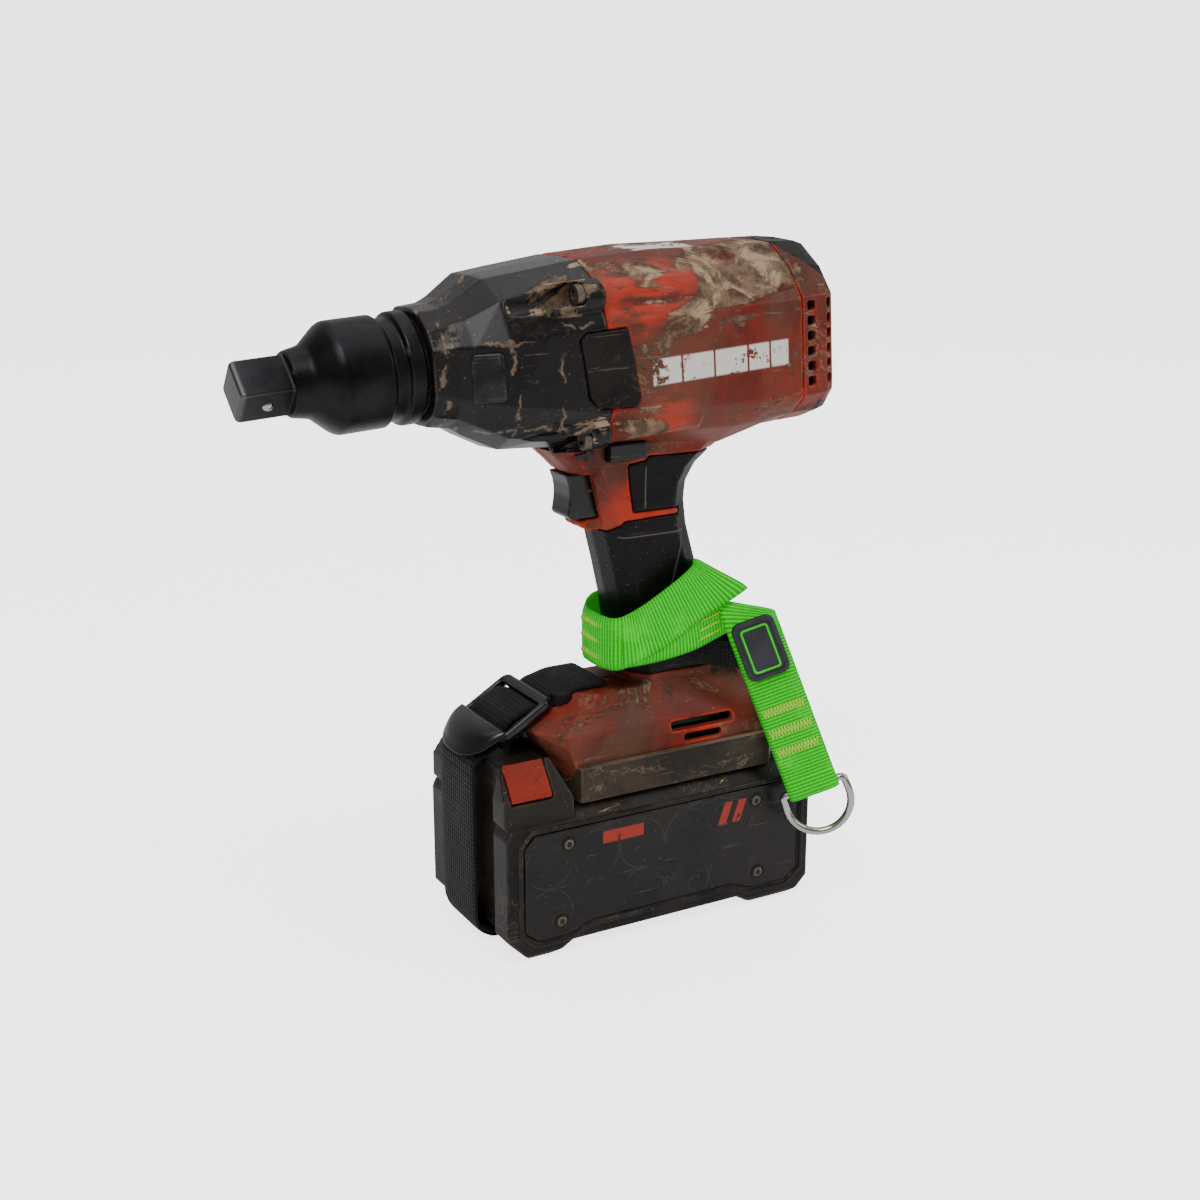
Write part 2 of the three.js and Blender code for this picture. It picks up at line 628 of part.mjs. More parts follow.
function footRim() {
  const inner = [[-45, 25], [-41.4, 36], [58.2, 36], [61, 33.2]];
  const outer = [[63.5, 36], [60, 39.6], [-44.5, 39.6], [-47.6, 25]];
  return slabZ([...inner, ...outer], 73, 90);
}

const rimRoom = placed(stackSkin(footSections), new THREE.Matrix4().makeScale(1.008, 1.01, 1));
add(base, "foot_rim_right", cut(footRim(), rimRoom), BLACK);
add(base, "foot_rim_left", cut(mirrored(footRim()), rimRoom), BLACK);

function rearCap() {
  const skin = barrelSkin(capSections);
  const hollow = barrelSkin(capSections.map(([u, half], k) => [u + (k === 0 ? -2 : -4), half]), WALL + 1);
  const rows = Array.from({ length: 6 }, (_, k) => 8.7 - k * 7);
  const columns = [[73.5, 77.9], [84.6, 88]];
  const vents = rows.flatMap((v) => columns.map((u) => box(u, [-60, 60], [v - 2.2, v + 2.2])));
  const back = [4, -3, -10, -17].map((v) => box([90, 110], [-14, 14], [v - 1.6, v + 1.6]));
  return cut(skin, hollow, ...vents, ...back);
}

add(barrel, "rear_cap", rearCap(), RED);

// ---- Controls ----

function trigger() {
  const [bottom, top] = TRIGGER.z;
  const outline = [
    [-35.3, top], [-33.4, 216], [-32.8, 210], [-33.6, 204], [-34.2, 201.2], [-32, bottom],
    [TRIGGER.back, bottom], [TRIGGER.back, top],
  ];
  return slabY(outline, -TRIGGER.y, TRIGGER.y);
}

add(base, "trigger", trigger(), BLACK);

function directionSwitch() {
  const half = 25.5;
  return box(SWITCH.x, [-half, half], SWITCH.z);
}

add(base, "direction_switch", directionSwitch(), BLACK);
add(base, "switch_module", box([-3.5, 15], [-9, 9], [196, 221]), CASE_GREY);
add(base, "mode_key", moved(rodZ(KEY.radius, 3.2), KEY.x, KEY.y, KEY.z), RUBBER);
add(base, "light_lens", box([-57.2, -53], [-6, 6], [97, 101]), CLEAR);
add(base, "controller", box([-38, 40], [-24, 24], [96, 105]), BOARD);

const CONTACT_ROWS = [-12, -4, 4, 12];

function terminalBlock() {
  const block = box([-20, 30], [-20, 20], [85.4, 93]);
  return cut(block, ...CONTACT_ROWS.map((y) => box([-34, 24], [y - 1.2, y + 1.2], [84, 91.5])));
}

add(base, "terminal_block", terminalBlock(), CASE_GREY);

// ---- Battery ----

const HALF_LENGTH = BATTERY.length / 2;
const HALF_WIDTH = BATTERY.width / 2;
const PANEL_DEPTH = 1.6;
const panelOutline = [
  [-75, 15], [-68, 9.5], [-52, 9.5], [-40, 14], [38, 14], [50, 9.5], [70, 9.5], [77, 15], [77, 57],
  [72, 62.6], [-70, 62.6], [-75, 57],
];
const BUTTON = { x: [-80, -59.5], y: [26.2, 39], z: [79, 97] }; // pocket of a release button

function batteryHump() {
  const across = [
    [39.5, 68], [39.5, 80], [28.6, 95.5], [28.2, 91.5],
    [-28.2, 91.5], [-28.6, 95.5], [-39.5, 80], [-39.5, 68],
  ];
  const along = [[-84, 66], [-84, 80], [-82, 90], [-78, 96], [-56, 96], [-48, 76], [-48, 66]];
  return slabX(across, -86, -40).intersect(slabY(along, -60, 60));
}

function buttonBlock(grow) {
  const outline = [
    [BUTTON.y[0] - grow, BUTTON.z[0] - grow], [HALF_WIDTH, BUTTON.z[0] - grow],
    [HALF_WIDTH, BUTTON.z[1] + grow], [BUTTON.y[0] - grow, BUTTON.z[1] + grow],
  ];
  return slabX(outline, BUTTON.x[0] - grow, BUTTON.x[1] + grow);
}

function batteryCase() {
  const profile = [
    [-HALF_LENGTH + 12, 0], [-60, 0], [-50, 6], [42, 6], [52, 0], [HALF_LENGTH - 9, 0], [HALF_LENGTH, 9],
    [HALF_LENGTH, 60], [HALF_LENGTH - 6, BATTERY.deck], [-HALF_LENGTH + 4, BATTERY.deck],
    [-HALF_LENGTH, 62], [-HALF_LENGTH, 12],
  ];
  const across = [
    [HALF_WIDTH - 4, 0], [HALF_WIDTH, 3], [HALF_WIDTH, 65], [36, BATTERY.deck],
    [-36, BATTERY.deck], [-HALF_WIDTH, 65], [-HALF_WIDTH, 3], [-HALF_WIDTH + 4, 0],
  ];
  const block = slabY(profile, -HALF_WIDTH, HALF_WIDTH).intersect(slabX(across, -HALF_LENGTH, HALF_LENGTH));
  const tongue = box([-52, 60], [-24, 24], [BATTERY.deck - 1, 84]);
  const gap = [-BATTERY.channel, BATTERY.channel];
  const ends = [[-100, -79.5], [79.5, 100]].map((x) => box(x, gap, [-1, 100]));
  const under = box([-100, 100], gap, [-1, 9.5]);
  const hollow = box([-76, 76], [-37, 37], [14, 62]);
  const grown = panelOutline.map(([x, z]) => [x + Math.sign(x) * GAP, z + (z > 35 ? GAP : -GAP)]);
  const panels = slabY(grown, HALF_WIDTH - PANEL_DEPTH - GAP, 60);
  const buttons = buttonBlock(GAP + 0.2);
  const boardRoom = box([-50, 50], [-21, 21], [60, 80]);
  const contactSlots = CONTACT_ROWS.map((y) => box([-18, 26], [y - 1.4, y + 1.4], [78, 90]));
  const body = joined(block, tongue, batteryHump());
  return cut(
    body, ...ends, under, hollow, panels, mirrored(panels), buttons, mirrored(buttons), boardRoom,
    ...contactSlots);
}

add(base, "battery_case", batteryCase(), CASE_GREY);

function sidePanel() {
  return slabY(panelOutline, HALF_WIDTH - PANEL_DEPTH, HALF_WIDTH - 0.1);
}

add(base, "battery_panel_right", sidePanel(), CASE_GREY);
add(base, "battery_panel_left", mirrored(sidePanel()), CASE_GREY);

function releaseButton() {
  return slabX([[39, 79.5], [39, 81.8], [28.9, 95.4], [28.9, 79.5]], BUTTON.x[0], BUTTON.x[1]);
}

add(base, "release_button_right", releaseButton(), RED);
add(base, "release_button_left", mirrored(releaseButton()), RED);

function cellBlock() {
  const columns = [-62.5, -37.5, -12.5, 12.5, 37.5, 62.5];
  const levels = [26, 49.5];
  const cells = columns.flatMap((x) => levels.map((z) => rodY(-34, 34, 10.4, x, z, 14)));
  const strips = levels.flatMap((z) => [-35, 34].map(
    (y) => box([-66, 66], [y - 0.1, y + 1.1], [z - 4, z + 4])));
  const links = [-62.5, -12.5, 37.5].map((x) => box([x - 4, x + 4], [34, 35.1], [26, 49.5]));
  return joined(...cells, ...strips, ...links);
}

add(base, "cell_block", cellBlock(), finish(0x3c6f8f, 0.5));
add(base, "battery_board", box([-46, 46], [-19, 19], [61, 64]), BOARD);

function contacts() {
  const blades = CONTACT_ROWS.map((y) => box([-14, 16], [y - 0.6, y + 0.6], [66.6, 88.5]));
  return joined(box([-16, 18], [-15, 15], [64.4, 66.8]), ...blades);
}

add(base, "contacts", contacts(), COPPER);

// ---- Tether ----

const STRAP_MIDDLE = 7; // the black strap lies a little to the right of the middle
const strapSide = [STRAP_MIDDLE - WEB_BLACK / 2, STRAP_MIDDLE + WEB_BLACK / 2];

// A strip of webbing that follows an open outline in X and Z, with the thickness inside it.
function webbing(path, thickness, sides) {
  const inner = [];
  for (let k = 0; k < path.length; k += 1) {
    const here = new THREE.Vector2(...path[k]);
    const before = new THREE.Vector2(...path[Math.max(k - 1, 0)]);
    const after = new THREE.Vector2(...path[Math.min(k + 1, path.length - 1)]);
    const along = after.sub(before).normalize();
    inner.push([here.x - along.y * thickness, here.y + along.x * thickness]);
  }
  return slabY([...path, ...inner.reverse()], sides[0], sides[1]);
}

const strapAround = [
  [-86.4, 88], [-86.4, 10], [-79, 1.6], [79, 1.6], [86.4, 9], [86.4, 84], [80, 96],
];
add(base, "strap_battery", webbing(strapAround, 1.8, strapSide), BLACK_WEB);

const BUCKLE = {
  middle: [-66, STRAP_MIDDLE, 104.5], front: -22.5, back: 25, across: 19, tilt: THREE.MathUtils.degToRad(31),
};

function buckle() {
  const { front, back, across } = BUCKLE;
  const plate = slabY([
    [front, -1], [-12, -3], [8, -3], [back, -1], [back, 2.5], [10, 5], [-12, 5], [front + 2, 2.5],
  ], -across, across);
  const slots = [[-12, -3], [3, 12]].map((x) => box(x, [-16.5, 16.5], [-10, 10]));
  const tilted = new THREE.Matrix4().makeRotationY(-BUCKLE.tilt).setPosition(...BUCKLE.middle);
  return placed(cut(plate, ...slots), tilted);
}

add(base, "buckle", buckle(), BLACK);

// The black strap from the buckle to the front of the handle.
const strapUpperPath = [[-42.8, 117.8], [-34, 118.6], [-15, 118.8]];
add(base, "strap_upper", webbing(strapUpperPath, 1.8, strapSide), BLACK_WEB);
const strapRearPath = [[80, 99], [72, 109], [63.6, 118]];
add(base, "strap_rear", webbing(strapRearPath, -1.8, strapSide), BLACK_WEB);

function ovalOutline(points, grow, middle) {
  return points.map(([x, y]) => {
    const out = new THREE.Vector2(x - middle, y).normalize();
    return [x + out.x * grow, y + out.y * grow];
  });
}

// The black strap around the root of the handle.
const rootOval = [
  [-12, -8], [-3, -21], [12, -25], [40, -25], [55, -19], [60, 0], [55, 19], [40, 25], [12, 25], [-3, 21],
  [-12, 8],
];
add(base, "strap_root", slabZ(ovalOutline(rootOval, 1.8, 22), 118, 126.5, [rootOval]), BLACK_WEB);

// The green choke loop: a band around the handle. Each point is [x, y, height of the lower edge].
const loopPath = [
  [-16.5, -20, 127.5], [0, -25.6, 135], [20, -26.9, 146], [36, -26.6, 151.5], [48, -21, 150], [53, -7, 143.5],
  [50, 8.6, 136.5], [41, 19.6, 132.5], [20, 23.2, 130], [2, 21.8, 128.5], [-8.4, 16, 128.2], [-17.3, 1, 128],
];

// A closed band of webbing that stands on edge along a ring of points.
function bandLoop(path, width, thickness) {
  const count = path.length;
  const middle = path.reduce((sum, [x, y]) => [sum[0] + x / count, sum[1] + y / count], [0, 0]);
  const positions = [];
  for (const [x, y, z] of path) {
    const out = new THREE.Vector2(x - middle[0], y - middle[1]).normalize().multiplyScalar(thickness);
    positions.push(x, y, z, x + out.x, y + out.y, z, x + out.x, y + out.y, z + width, x, y, z + width);
  }
  const index = [];
  for (let i = 0; i < count; i += 1) {
    for (let k = 0; k < 4; k += 1) {
      const [a, b] = [4 * i + k, 4 * i + ((k + 1) % 4)];
      const [c, d] = [(a + 4) % (4 * count), (b + 4) % (4 * count)];
      index.push(a, b, d, a, d, c);
    }
  }
  const geometry = new THREE.BufferGeometry();
  geometry.setAttribute("position", new THREE.Float32BufferAttribute(positions, 3));
  geometry.setIndex(index);
  return solid(geometry);
}

add(base, "tether_loop", bandLoop(loopPath, WEB_GREEN * 1.06, 3.2), GREEN_WEB);

// The tail hangs from the loop beside the battery, and turns its face to the front left.
const TAIL = { top: [47, -37, 151], bottom: [77, -55, 60], thickness: 3.4 };

function tailFrame() {
  const top = new THREE.Vector3(...TAIL.top);
  const bottom = new THREE.Vector3(...TAIL.bottom);
  const along = bottom.clone().sub(top).normalize();
  const facing = new THREE.Vector3(-0.46, -0.87, -0.02);
  const across = along.clone().cross(facing).normalize();
  const out = across.clone().cross(along).normalize();
  return { top, along, across, out, length: top.distanceTo(bottom) };
}

function tailPiece(alongRange, acrossHalf, outRange) {
  const { top, along, across, out } = tailFrame();
  const piece = box([-acrossHalf, acrossHalf], alongRange, outRange);
  const matrix = new THREE.Matrix4().makeBasis(across, along, out).setPosition(top);
  return placed(piece, matrix);
}

const tail = tailFrame();
const bulge = tailPiece([tail.length - 8, tail.length + 2], WEB_GREEN / 2, [-4.4, 4.4]);
const barHole = tailPiece([tail.length - 5.6, tail.length - 0.6], WEB_GREEN, [-2.5, 2.5]);
const strip = tailPiece([0, tail.length - 4], WEB_GREEN / 2, [-TAIL.thickness / 2, TAIL.thickness / 2]);
add(base, "tether_tail", cut(joined(strip, bulge), barHole), GREEN_WEB);
const patch = tailPiece([3.2, 32.2], 10.5, [TAIL.thickness / 2 + GAP, TAIL.thickness / 2 + 3]);
add(base, "tether_patch", patch, RUBBER);

const D_RING = { half: 18, straight: 8, wire: 1.9 };

function dRing() {
  const reach = D_RING.half - D_RING.wire;
  const torus = moved(solid(new THREE.TorusGeometry(reach, D_RING.wire, 8, 28)), 0, D_RING.straight, 0);
  const arc = torus.intersect(box([-40, 40], [D_RING.straight, 60], [-10, 10]));
  const bar = rodX(-reach - 0.6, reach + 0.6, D_RING.wire, 0, 0, 10);
  const legs = [-1, 1].map((s) => rodY(-0.1, D_RING.straight + 0.3, D_RING.wire, s * reach, 0, 8));
  const { top, along, across, out, length } = tailFrame();
  const start = top.clone().addScaledVector(along, length - 3.1);
  const matrix = new THREE.Matrix4().makeBasis(across, along, out).setPosition(start);
  return placed(joined(arc, bar, ...legs), matrix);
}

add(base, "d_ring", dRing(), STEEL);

export default object;
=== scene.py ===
import math

import bpy
from mathutils import Matrix, Vector


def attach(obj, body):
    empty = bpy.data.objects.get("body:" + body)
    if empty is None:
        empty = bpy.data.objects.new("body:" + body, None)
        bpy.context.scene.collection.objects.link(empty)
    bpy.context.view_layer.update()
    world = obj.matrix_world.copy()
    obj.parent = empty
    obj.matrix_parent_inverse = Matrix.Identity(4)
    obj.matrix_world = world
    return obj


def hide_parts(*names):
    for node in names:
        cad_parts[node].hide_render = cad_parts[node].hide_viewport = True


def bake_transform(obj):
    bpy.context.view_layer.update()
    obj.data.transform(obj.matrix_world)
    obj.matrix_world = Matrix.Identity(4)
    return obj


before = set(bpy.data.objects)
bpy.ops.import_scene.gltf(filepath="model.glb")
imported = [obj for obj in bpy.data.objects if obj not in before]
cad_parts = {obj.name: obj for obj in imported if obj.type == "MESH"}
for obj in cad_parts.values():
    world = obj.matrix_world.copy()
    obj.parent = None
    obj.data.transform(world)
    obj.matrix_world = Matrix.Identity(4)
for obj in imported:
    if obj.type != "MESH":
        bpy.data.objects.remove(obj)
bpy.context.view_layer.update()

# ---- Frames: base has its origin on the ground under the battery, barrel lies on the drive axis ----

DIP = math.radians(3.6)
AXIS_HEIGHT = 281.5
TIP = 186.6
BASE = Vector((TIP * math.cos(DIP), 0.0, TIP * math.sin(DIP) - AXIS_HEIGHT))
ALONG = Vector((math.cos(DIP), 0.0, math.sin(DIP)))
UPWARD = Vector((-math.sin(DIP), 0.0, math.cos(DIP)))
CENTRE = BASE + Vector((0.0, 0.0, AXIS_HEIGHT))


def at(x, y, z):
    """A point of the base frame, in millimetres, as a point of the scene in metres."""
    return (BASE + Vector((x, y, z))) / 1000


def on_barrel(u, y, v):
    """A point of the barrel frame, in millimetres, as a point of the scene in metres."""
    return (CENTRE + ALONG * u + UPWARD * v + Vector((0.0, y, 0.0))) / 1000


# ---- Node building ----


class Look:
    """A node material whose patterns are placed in the object's own coordinates."""

    def __init__(self, name):
        self.material = bpy.data.materials.new(name)
        self.material.use_nodes = True
        self.tree = self.material.node_tree
        self.shader = self.tree.nodes["Principled BSDF"]
        self.coords = self.tree.nodes.new("ShaderNodeTexCoord").outputs["Object"]

    def put(self, socket, value):
        if isinstance(value, bpy.types.NodeSocket):
            self.tree.links.new(value, socket)
        elif isinstance(value, tuple) and len(value) == 3 and socket.type == "RGBA":
            socket.default_value = (*value, 1.0)
        else:
            socket.default_value = value

    def set(self, **values):
        for name, value in values.items():
            self.put(self.shader.inputs[name.replace("_", " ")], value)

    def math(self, operation, a, b=0.0):
        node = self.tree.nodes.new("ShaderNodeMath")
        node.operation = operation
        self.put(node.inputs[0], a)
        self.put(node.inputs[1], b)
        return node.outputs[0]

    def times(self, a, b):
        return self.math("MULTIPLY", a, b)

    def plus(self, a, b):
        return self.math("ADD", a, b)

    def larger(self, a, b):
        return self.math("MAXIMUM", a, b)

    def inverse(self, value):
        return self.math("SUBTRACT", 1.0, value)

    def step(self, value, low, high):
        node = self.tree.nodes.new("ShaderNodeMapRange")
        node.interpolation_type = "SMOOTHSTEP"
        self.put(node.inputs["Value"], value)
        node.inputs["From Min"].default_value = low
        node.inputs["From Max"].default_value = high
        return node.outputs[0]

    def mix(self, share, a, b):
        node = self.tree.nodes.new("ShaderNodeMix")
        node.data_type = "RGBA"
        self.put(node.inputs[0], share)
        self.put(node.inputs[6], a)
        self.put(node.inputs[7], b)
        return node.outputs[2]

    def map(self, location=(0, 0, 0), rotation=(0, 0, 0), scale=(1, 1, 1), source=None):
        node = self.tree.nodes.new("ShaderNodeMapping")
        self.put(node.inputs["Vector"], source or self.coords)
        node.inputs["Location"].default_value = location
        node.inputs["Rotation"].default_value = rotation
        node.inputs["Scale"].default_value = scale
        return node.outputs[0]

    def noise(self, scale, detail=4.0, rough=0.55, source=None, warp=0.0):
        node = self.tree.nodes.new("ShaderNodeTexNoise")
        self.put(node.inputs["Vector"], source or self.coords)
        node.inputs["Scale"].default_value = scale
        node.inputs["Detail"].default_value = detail
        node.inputs["Roughness"].default_value = rough
        node.inputs["Distortion"].default_value = warp
        return node.outputs["Fac"]

    def cells(self, scale, source=None, feature="F1"):
        node = self.tree.nodes.new("ShaderNodeTexVoronoi")
        node.feature = feature
        self.put(node.inputs["Vector"], source or self.coords)
        node.inputs["Scale"].default_value = scale
        return node.outputs["Distance"]

    def axes(self, source=None):
        node = self.tree.nodes.new("ShaderNodeSeparateXYZ")
        self.put(node.inputs[0], source or self.coords)
        return node.outputs

    def distance(self, point):
        node = self.tree.nodes.new("ShaderNodeVectorMath")
        node.operation = "DISTANCE"
        self.put(node.inputs[0], self.coords)
        node.inputs[1].default_value = tuple(point)
        return node.outputs["Value"]

    def edge(self):
        return self.tree.nodes.new("ShaderNodeNewGeometry").outputs["Pointiness"]

    def normal_up(self):
        node = self.tree.nodes.new("ShaderNodeSeparateXYZ")
        self.put(node.inputs[0], self.tree.nodes.new("ShaderNodeNewGeometry").outputs["Normal"])
        return node.outputs[2]

    def between(self, value, low, high, soft):
        rise = self.step(value, low - soft, low + soft)
        fall = self.step(value, high - soft, high + soft)
        return self.times(rise, self.inverse(fall))

    def bump(self, height, distance, strength=1.0, under=None):
        node = self.tree.nodes.new("ShaderNodeBump")
        node.inputs["Strength"].default_value = strength
        node.inputs["Distance"].default_value = distance
        self.put(node.inputs["Height"], height)
        if under is not None:
            self.put(node.inputs["Normal"], under)
        return node.outputs[0]


def srgb(code):
    """A hex colour as linear values."""
    parts = [int(code[k:k + 2], 16) / 255 for k in (0, 2, 4)]
    return tuple(p / 12.92 if p < 0.04045 else ((p + 0.055) / 1.055) ** 2.4 for p in parts)


MUD = srgb("7d6852")
MUD_PALE = srgb("a99277")
MUD_DARK = srgb("42372c")
DUST = srgb("62503f")


def worn_plastic(name, base, darker, rubbed, mud, rough, grain=0.00006, rub=0.5, film=0.12,
                 shine=0.3, marks=None, mark_colour=None, zones=(), cover=None, lines=None, fresh=()):
    """Moulded plastic: colour variation, mud smears and crevice dirt, rubbed edges and scratches.
    zones are [place, reach, how much more mud] and fresh are [place, reach] of brightly rubbed plastic;
    marks, cover and lines are masks made by a function of the look."""
    look = Look(name)
    broad = look.noise(22.0, 6.0, 0.6)
    colour = look.mix(look.step(broad, 0.36, 0.64), darker, base)
    fine = look.noise(420.0, 3.0, 0.6)
    colour = look.mix(look.times(look.step(fine, 0.5, 0.75), 0.22), colour, darker)
    edge = look.edge()
    patchy = look.step(look.noise(70.0, 5.0, 0.6), 0.38, 0.62)
    raised = look.times(look.step(edge, 0.506, 0.54), look.times(patchy, rub))
    colour = look.mix(raised, colour, rubbed)
    for place, reach in fresh:
        near = look.inverse(look.step(look.distance(place), reach * 0.4, reach))
        scuff = look.step(look.noise(55.0, 8.0, 0.65, look.map(scale=(0.45, 1.0, 1.5))), 0.4, 0.52)
        colour = look.mix(look.times(near, look.times(scuff, 0.85)), colour, rubbed)
    if lines:
        colour = look.mix(look.times(lines(look), 0.45), colour, srgb("4a4745"))
    haze = look.step(look.noise(17.0, 8.0, 0.62, warp=0.8), 0.36, 0.66)
    colour = look.mix(look.times(haze, film), colour, DUST)
    if marks:
        colour = look.mix(marks(look), colour, mark_colour)
    for turn, scale in ((0.3, (10.0, 200.0, 300.0)), (-0.9, (260.0, 14.0, 180.0))):
        long_way = look.map(rotation=(0.2, turn + 0.4, turn), scale=scale)
        scratch = look.step(look.noise(2.4, 5.0, 0.65, long_way), 0.66, 0.69)
        colour = look.mix(look.times(scratch, 0.4), colour, look.mix(broad, rubbed, MUD_PALE))
    smear = look.noise(27.0, 11.0, 0.7, look.map(rotation=(0.0, 0.5, 0.2), scale=(0.6, 1.0, 1.5)), 1.3)
    top = look.times(look.step(look.normal_up(), -0.2, 0.9), 0.05)
    crevice = look.times(look.inverse(look.step(edge, 0.455, 0.497)), 0.16)
    level = look.plus(look.plus(smear, top), crevice)
    for place, reach, more in zones:
        near = look.inverse(look.step(look.distance(place), reach * 0.35, reach))
        level = look.plus(level, look.times(near, more))
    mask = look.times(look.step(level, 0.652 - mud, 0.685 - mud), 0.86)
    tint = look.mix(look.step(look.noise(120.0, 9.0, 0.7), 0.38, 0.62), MUD_DARK, MUD)
    tint = look.mix(look.step(look.noise(64.0, 8.0, 0.65, warp=0.9), 0.5, 0.62), tint, MUD_PALE)
    tint = look.mix(look.step(look.noise(38.0, 6.0, 0.6), 0.55, 0.66), tint, darker)
    colour = look.mix(mask, colour, tint)
    crest = look.math("ABSOLUTE", look.math("SUBTRACT", smear, 0.56))
    crest = look.inverse(look.step(crest, 0.002, 0.009))
    crest = look.times(crest, look.step(look.noise(33.0, 4.0, 0.6), 0.5, 0.6))
    colour = look.mix(look.times(crest, min(1.0, 3.2 * film)), colour, MUD)
    if cover:
        colour = look.mix(cover(look), colour, look.mix(broad, srgb("151416"), srgb("2a2725")))
    speck = look.inverse(look.step(look.cells(230.0), 0.05, 0.1))
    speck = look.times(speck, look.step(look.noise(30.0, 3.0, 0.6), 0.5, 0.62))
    colour = look.mix(look.times(speck, 0.16), colour, MUD_PALE)
    roughness = look.plus(look.times(mask, 0.35), look.plus(rough - 0.08, look.times(broad, 0.2)))
    skin = look.bump(fine, grain)
    normal = look.bump(look.times(mask, look.noise(240.0, 4.0, 0.6)), 0.0007, 0.9, skin)
    look.set(Base_Color=colour, Roughness=roughness, Normal=normal)
    look.set(Specular_IOR_Level=shine)
    return look.material


def barrel_axes(look):
    """Metres along the drive axis, across it and up from it."""
    x0, _, z0 = CENTRE / 1000
    shifted = look.map(location=(-x0, 0.0, -z0))
    return look.axes(look.map(rotation=(0.0, DIP, 0.0), source=shifted))


def housing_marks(look):
    """A plain worn white bar on each side of the barrel and a worn blank label on its top."""
    u, y, v = barrel_axes(look)
    side = look.times(look.between(u, -0.010, 0.062, 0.0006), look.between(v, -0.0165, -0.005, 0.0006))
    wide = look.step(look.math("ABSOLUTE", y), 0.036, 0.038)
    side = look.times(side, wide)
    for gap in (0.0045, 0.0215, 0.0395, 0.0515):
        side = look.times(side, look.inverse(look.between(u, gap, gap + 0.0011, 0.0003)))
    label = look.times(look.between(u, -0.002, 0.03, 0.0005), look.between(y, -0.016, 0.004, 0.0005))
    label = look.times(label, look.step(v, 0.034, 0.036))
    chipped = look.plus(look.noise(120.0, 9.0, 0.75), look.times(look.step(u, -0.012, 0.012), 0.06))
    worn = look.step(chipped, 0.46, 0.5)
    return look.times(look.larger(side, label), worn)


def metal(name, base, dark, rough, grime=0.3, stretch=(1, 1, 1)):
    """Machined steel: fine tool marks, stains and polished edges."""
    look = Look(name)
    marks = look.noise(900.0, 3.0, 0.6, look.map(scale=stretch))
    stain = look.step(look.noise(60.0, 7.0, 0.62), 0.4, 0.7)
    colour = look.mix(look.times(stain, grime), base, dark)
    edge = look.step(look.edge(), 0.52, 0.58)
    colour = look.mix(look.times(edge, 0.5), colour, srgb("8d8d90"))
    look.set(Base_Color=colour, Metallic=1.0)
    look.set(Roughness=look.plus(rough - 0.05, look.times(marks, 0.18)))
    look.set(Normal=look.bump(marks, 0.00002))
    return look.material


def plain_plastic(name, base, rough, grain=0.00003, clear=0.0):
    """Clean moulded plastic with a fine grain and slight colour variation."""
    look = Look(name)
    cloud = look.noise(80.0, 4.0, 0.6)
    tone = tuple(c * 0.72 for c in base)
    look.set(Base_Color=look.mix(look.step(cloud, 0.3, 0.7), tone, base), Transmission_Weight=clear)
    look.set(Roughness=look.plus(rough - 0.05, look.times(cloud, 0.12)))
    look.set(Normal=look.bump(look.noise(700.0, 3.0), grain))
    return look.material


def webbing_look(name, base, light, dark, pitch, dirt, diamond=False, painted_glow=None):
    """Woven webbing in the band's own length and width coordinates, which are in metres."""
    look = Look(name)
    flat = look.tree.nodes.new("ShaderNodeUVMap")
    flat.uv_map = "flat"
    long_axis, wide_axis, _ = look.axes(flat.outputs[0])
    if diamond:
        one = look.plus(long_axis, wide_axis)
        two = look.math("SUBTRACT", long_axis, wide_axis)
        first = look.math("SINE", look.times(one, 2 * math.pi / pitch))
        second = look.math("SINE", look.times(two, 2 * math.pi / pitch))
        weave = look.times(first, second)
    else:
        rib = look.math("SINE", look.times(long_axis, 2 * math.pi / pitch))
        thread = look.math("SINE", look.times(wide_axis, 2 * math.pi / (pitch * 1.4)))
        weave = look.plus(look.times(rib, 0.9), look.times(thread, 0.1))
    # The weave is painted darker in its hollows between the ribs: painted shade that follows the weave's
    # bump.
    tone = look.step(weave, -0.9, 0.9)
    fuzz = look.noise(900.0, 4.0, 0.6)
    colour = look.mix(tone, dark, base)
    colour = look.mix(look.times(look.step(look.noise(60.0, 4.0, 0.6), 0.5, 0.75), 0.55), colour, light)
    stain = look.step(look.noise(38.0, 7.0, 0.65), 0.60 - dirt, 0.74 - dirt)
    colour = look.mix(look.times(stain, 0.55), colour, MUD_DARK)
    look.set(Base_Color=colour, Roughness=look.plus(0.62, look.times(fuzz, 0.25)))
    look.set(Sheen_Weight=0.05)
    look.set(Specular_IOR_Level=0.2)
    look.set(Normal=look.bump(weave, 0.0003, 1.0, look.bump(fuzz, 0.0001)))
    # Painted glow: the webbing gives off a faint green light of its own, though it is no lamp.
    if painted_glow:
        look.set(Emission_Color=painted_glow, Emission_Strength=0.12)
    return look.material


def rear_bumper(look):
    """The dark rubber bumper on the top and bottom corners of the back."""
    u, _, v = barrel_axes(look)
    slope = look.plus(v, look.times(look.math("SUBTRACT", u, 0.068), 0.92))
    upper = look.step(slope, 0.0375, 0.0385)
    lower = look.times(look.step(u, 0.081, 0.082), look.step(look.times(v, -1.0), 0.036, 0.037))
    return look.larger(upper, lower)


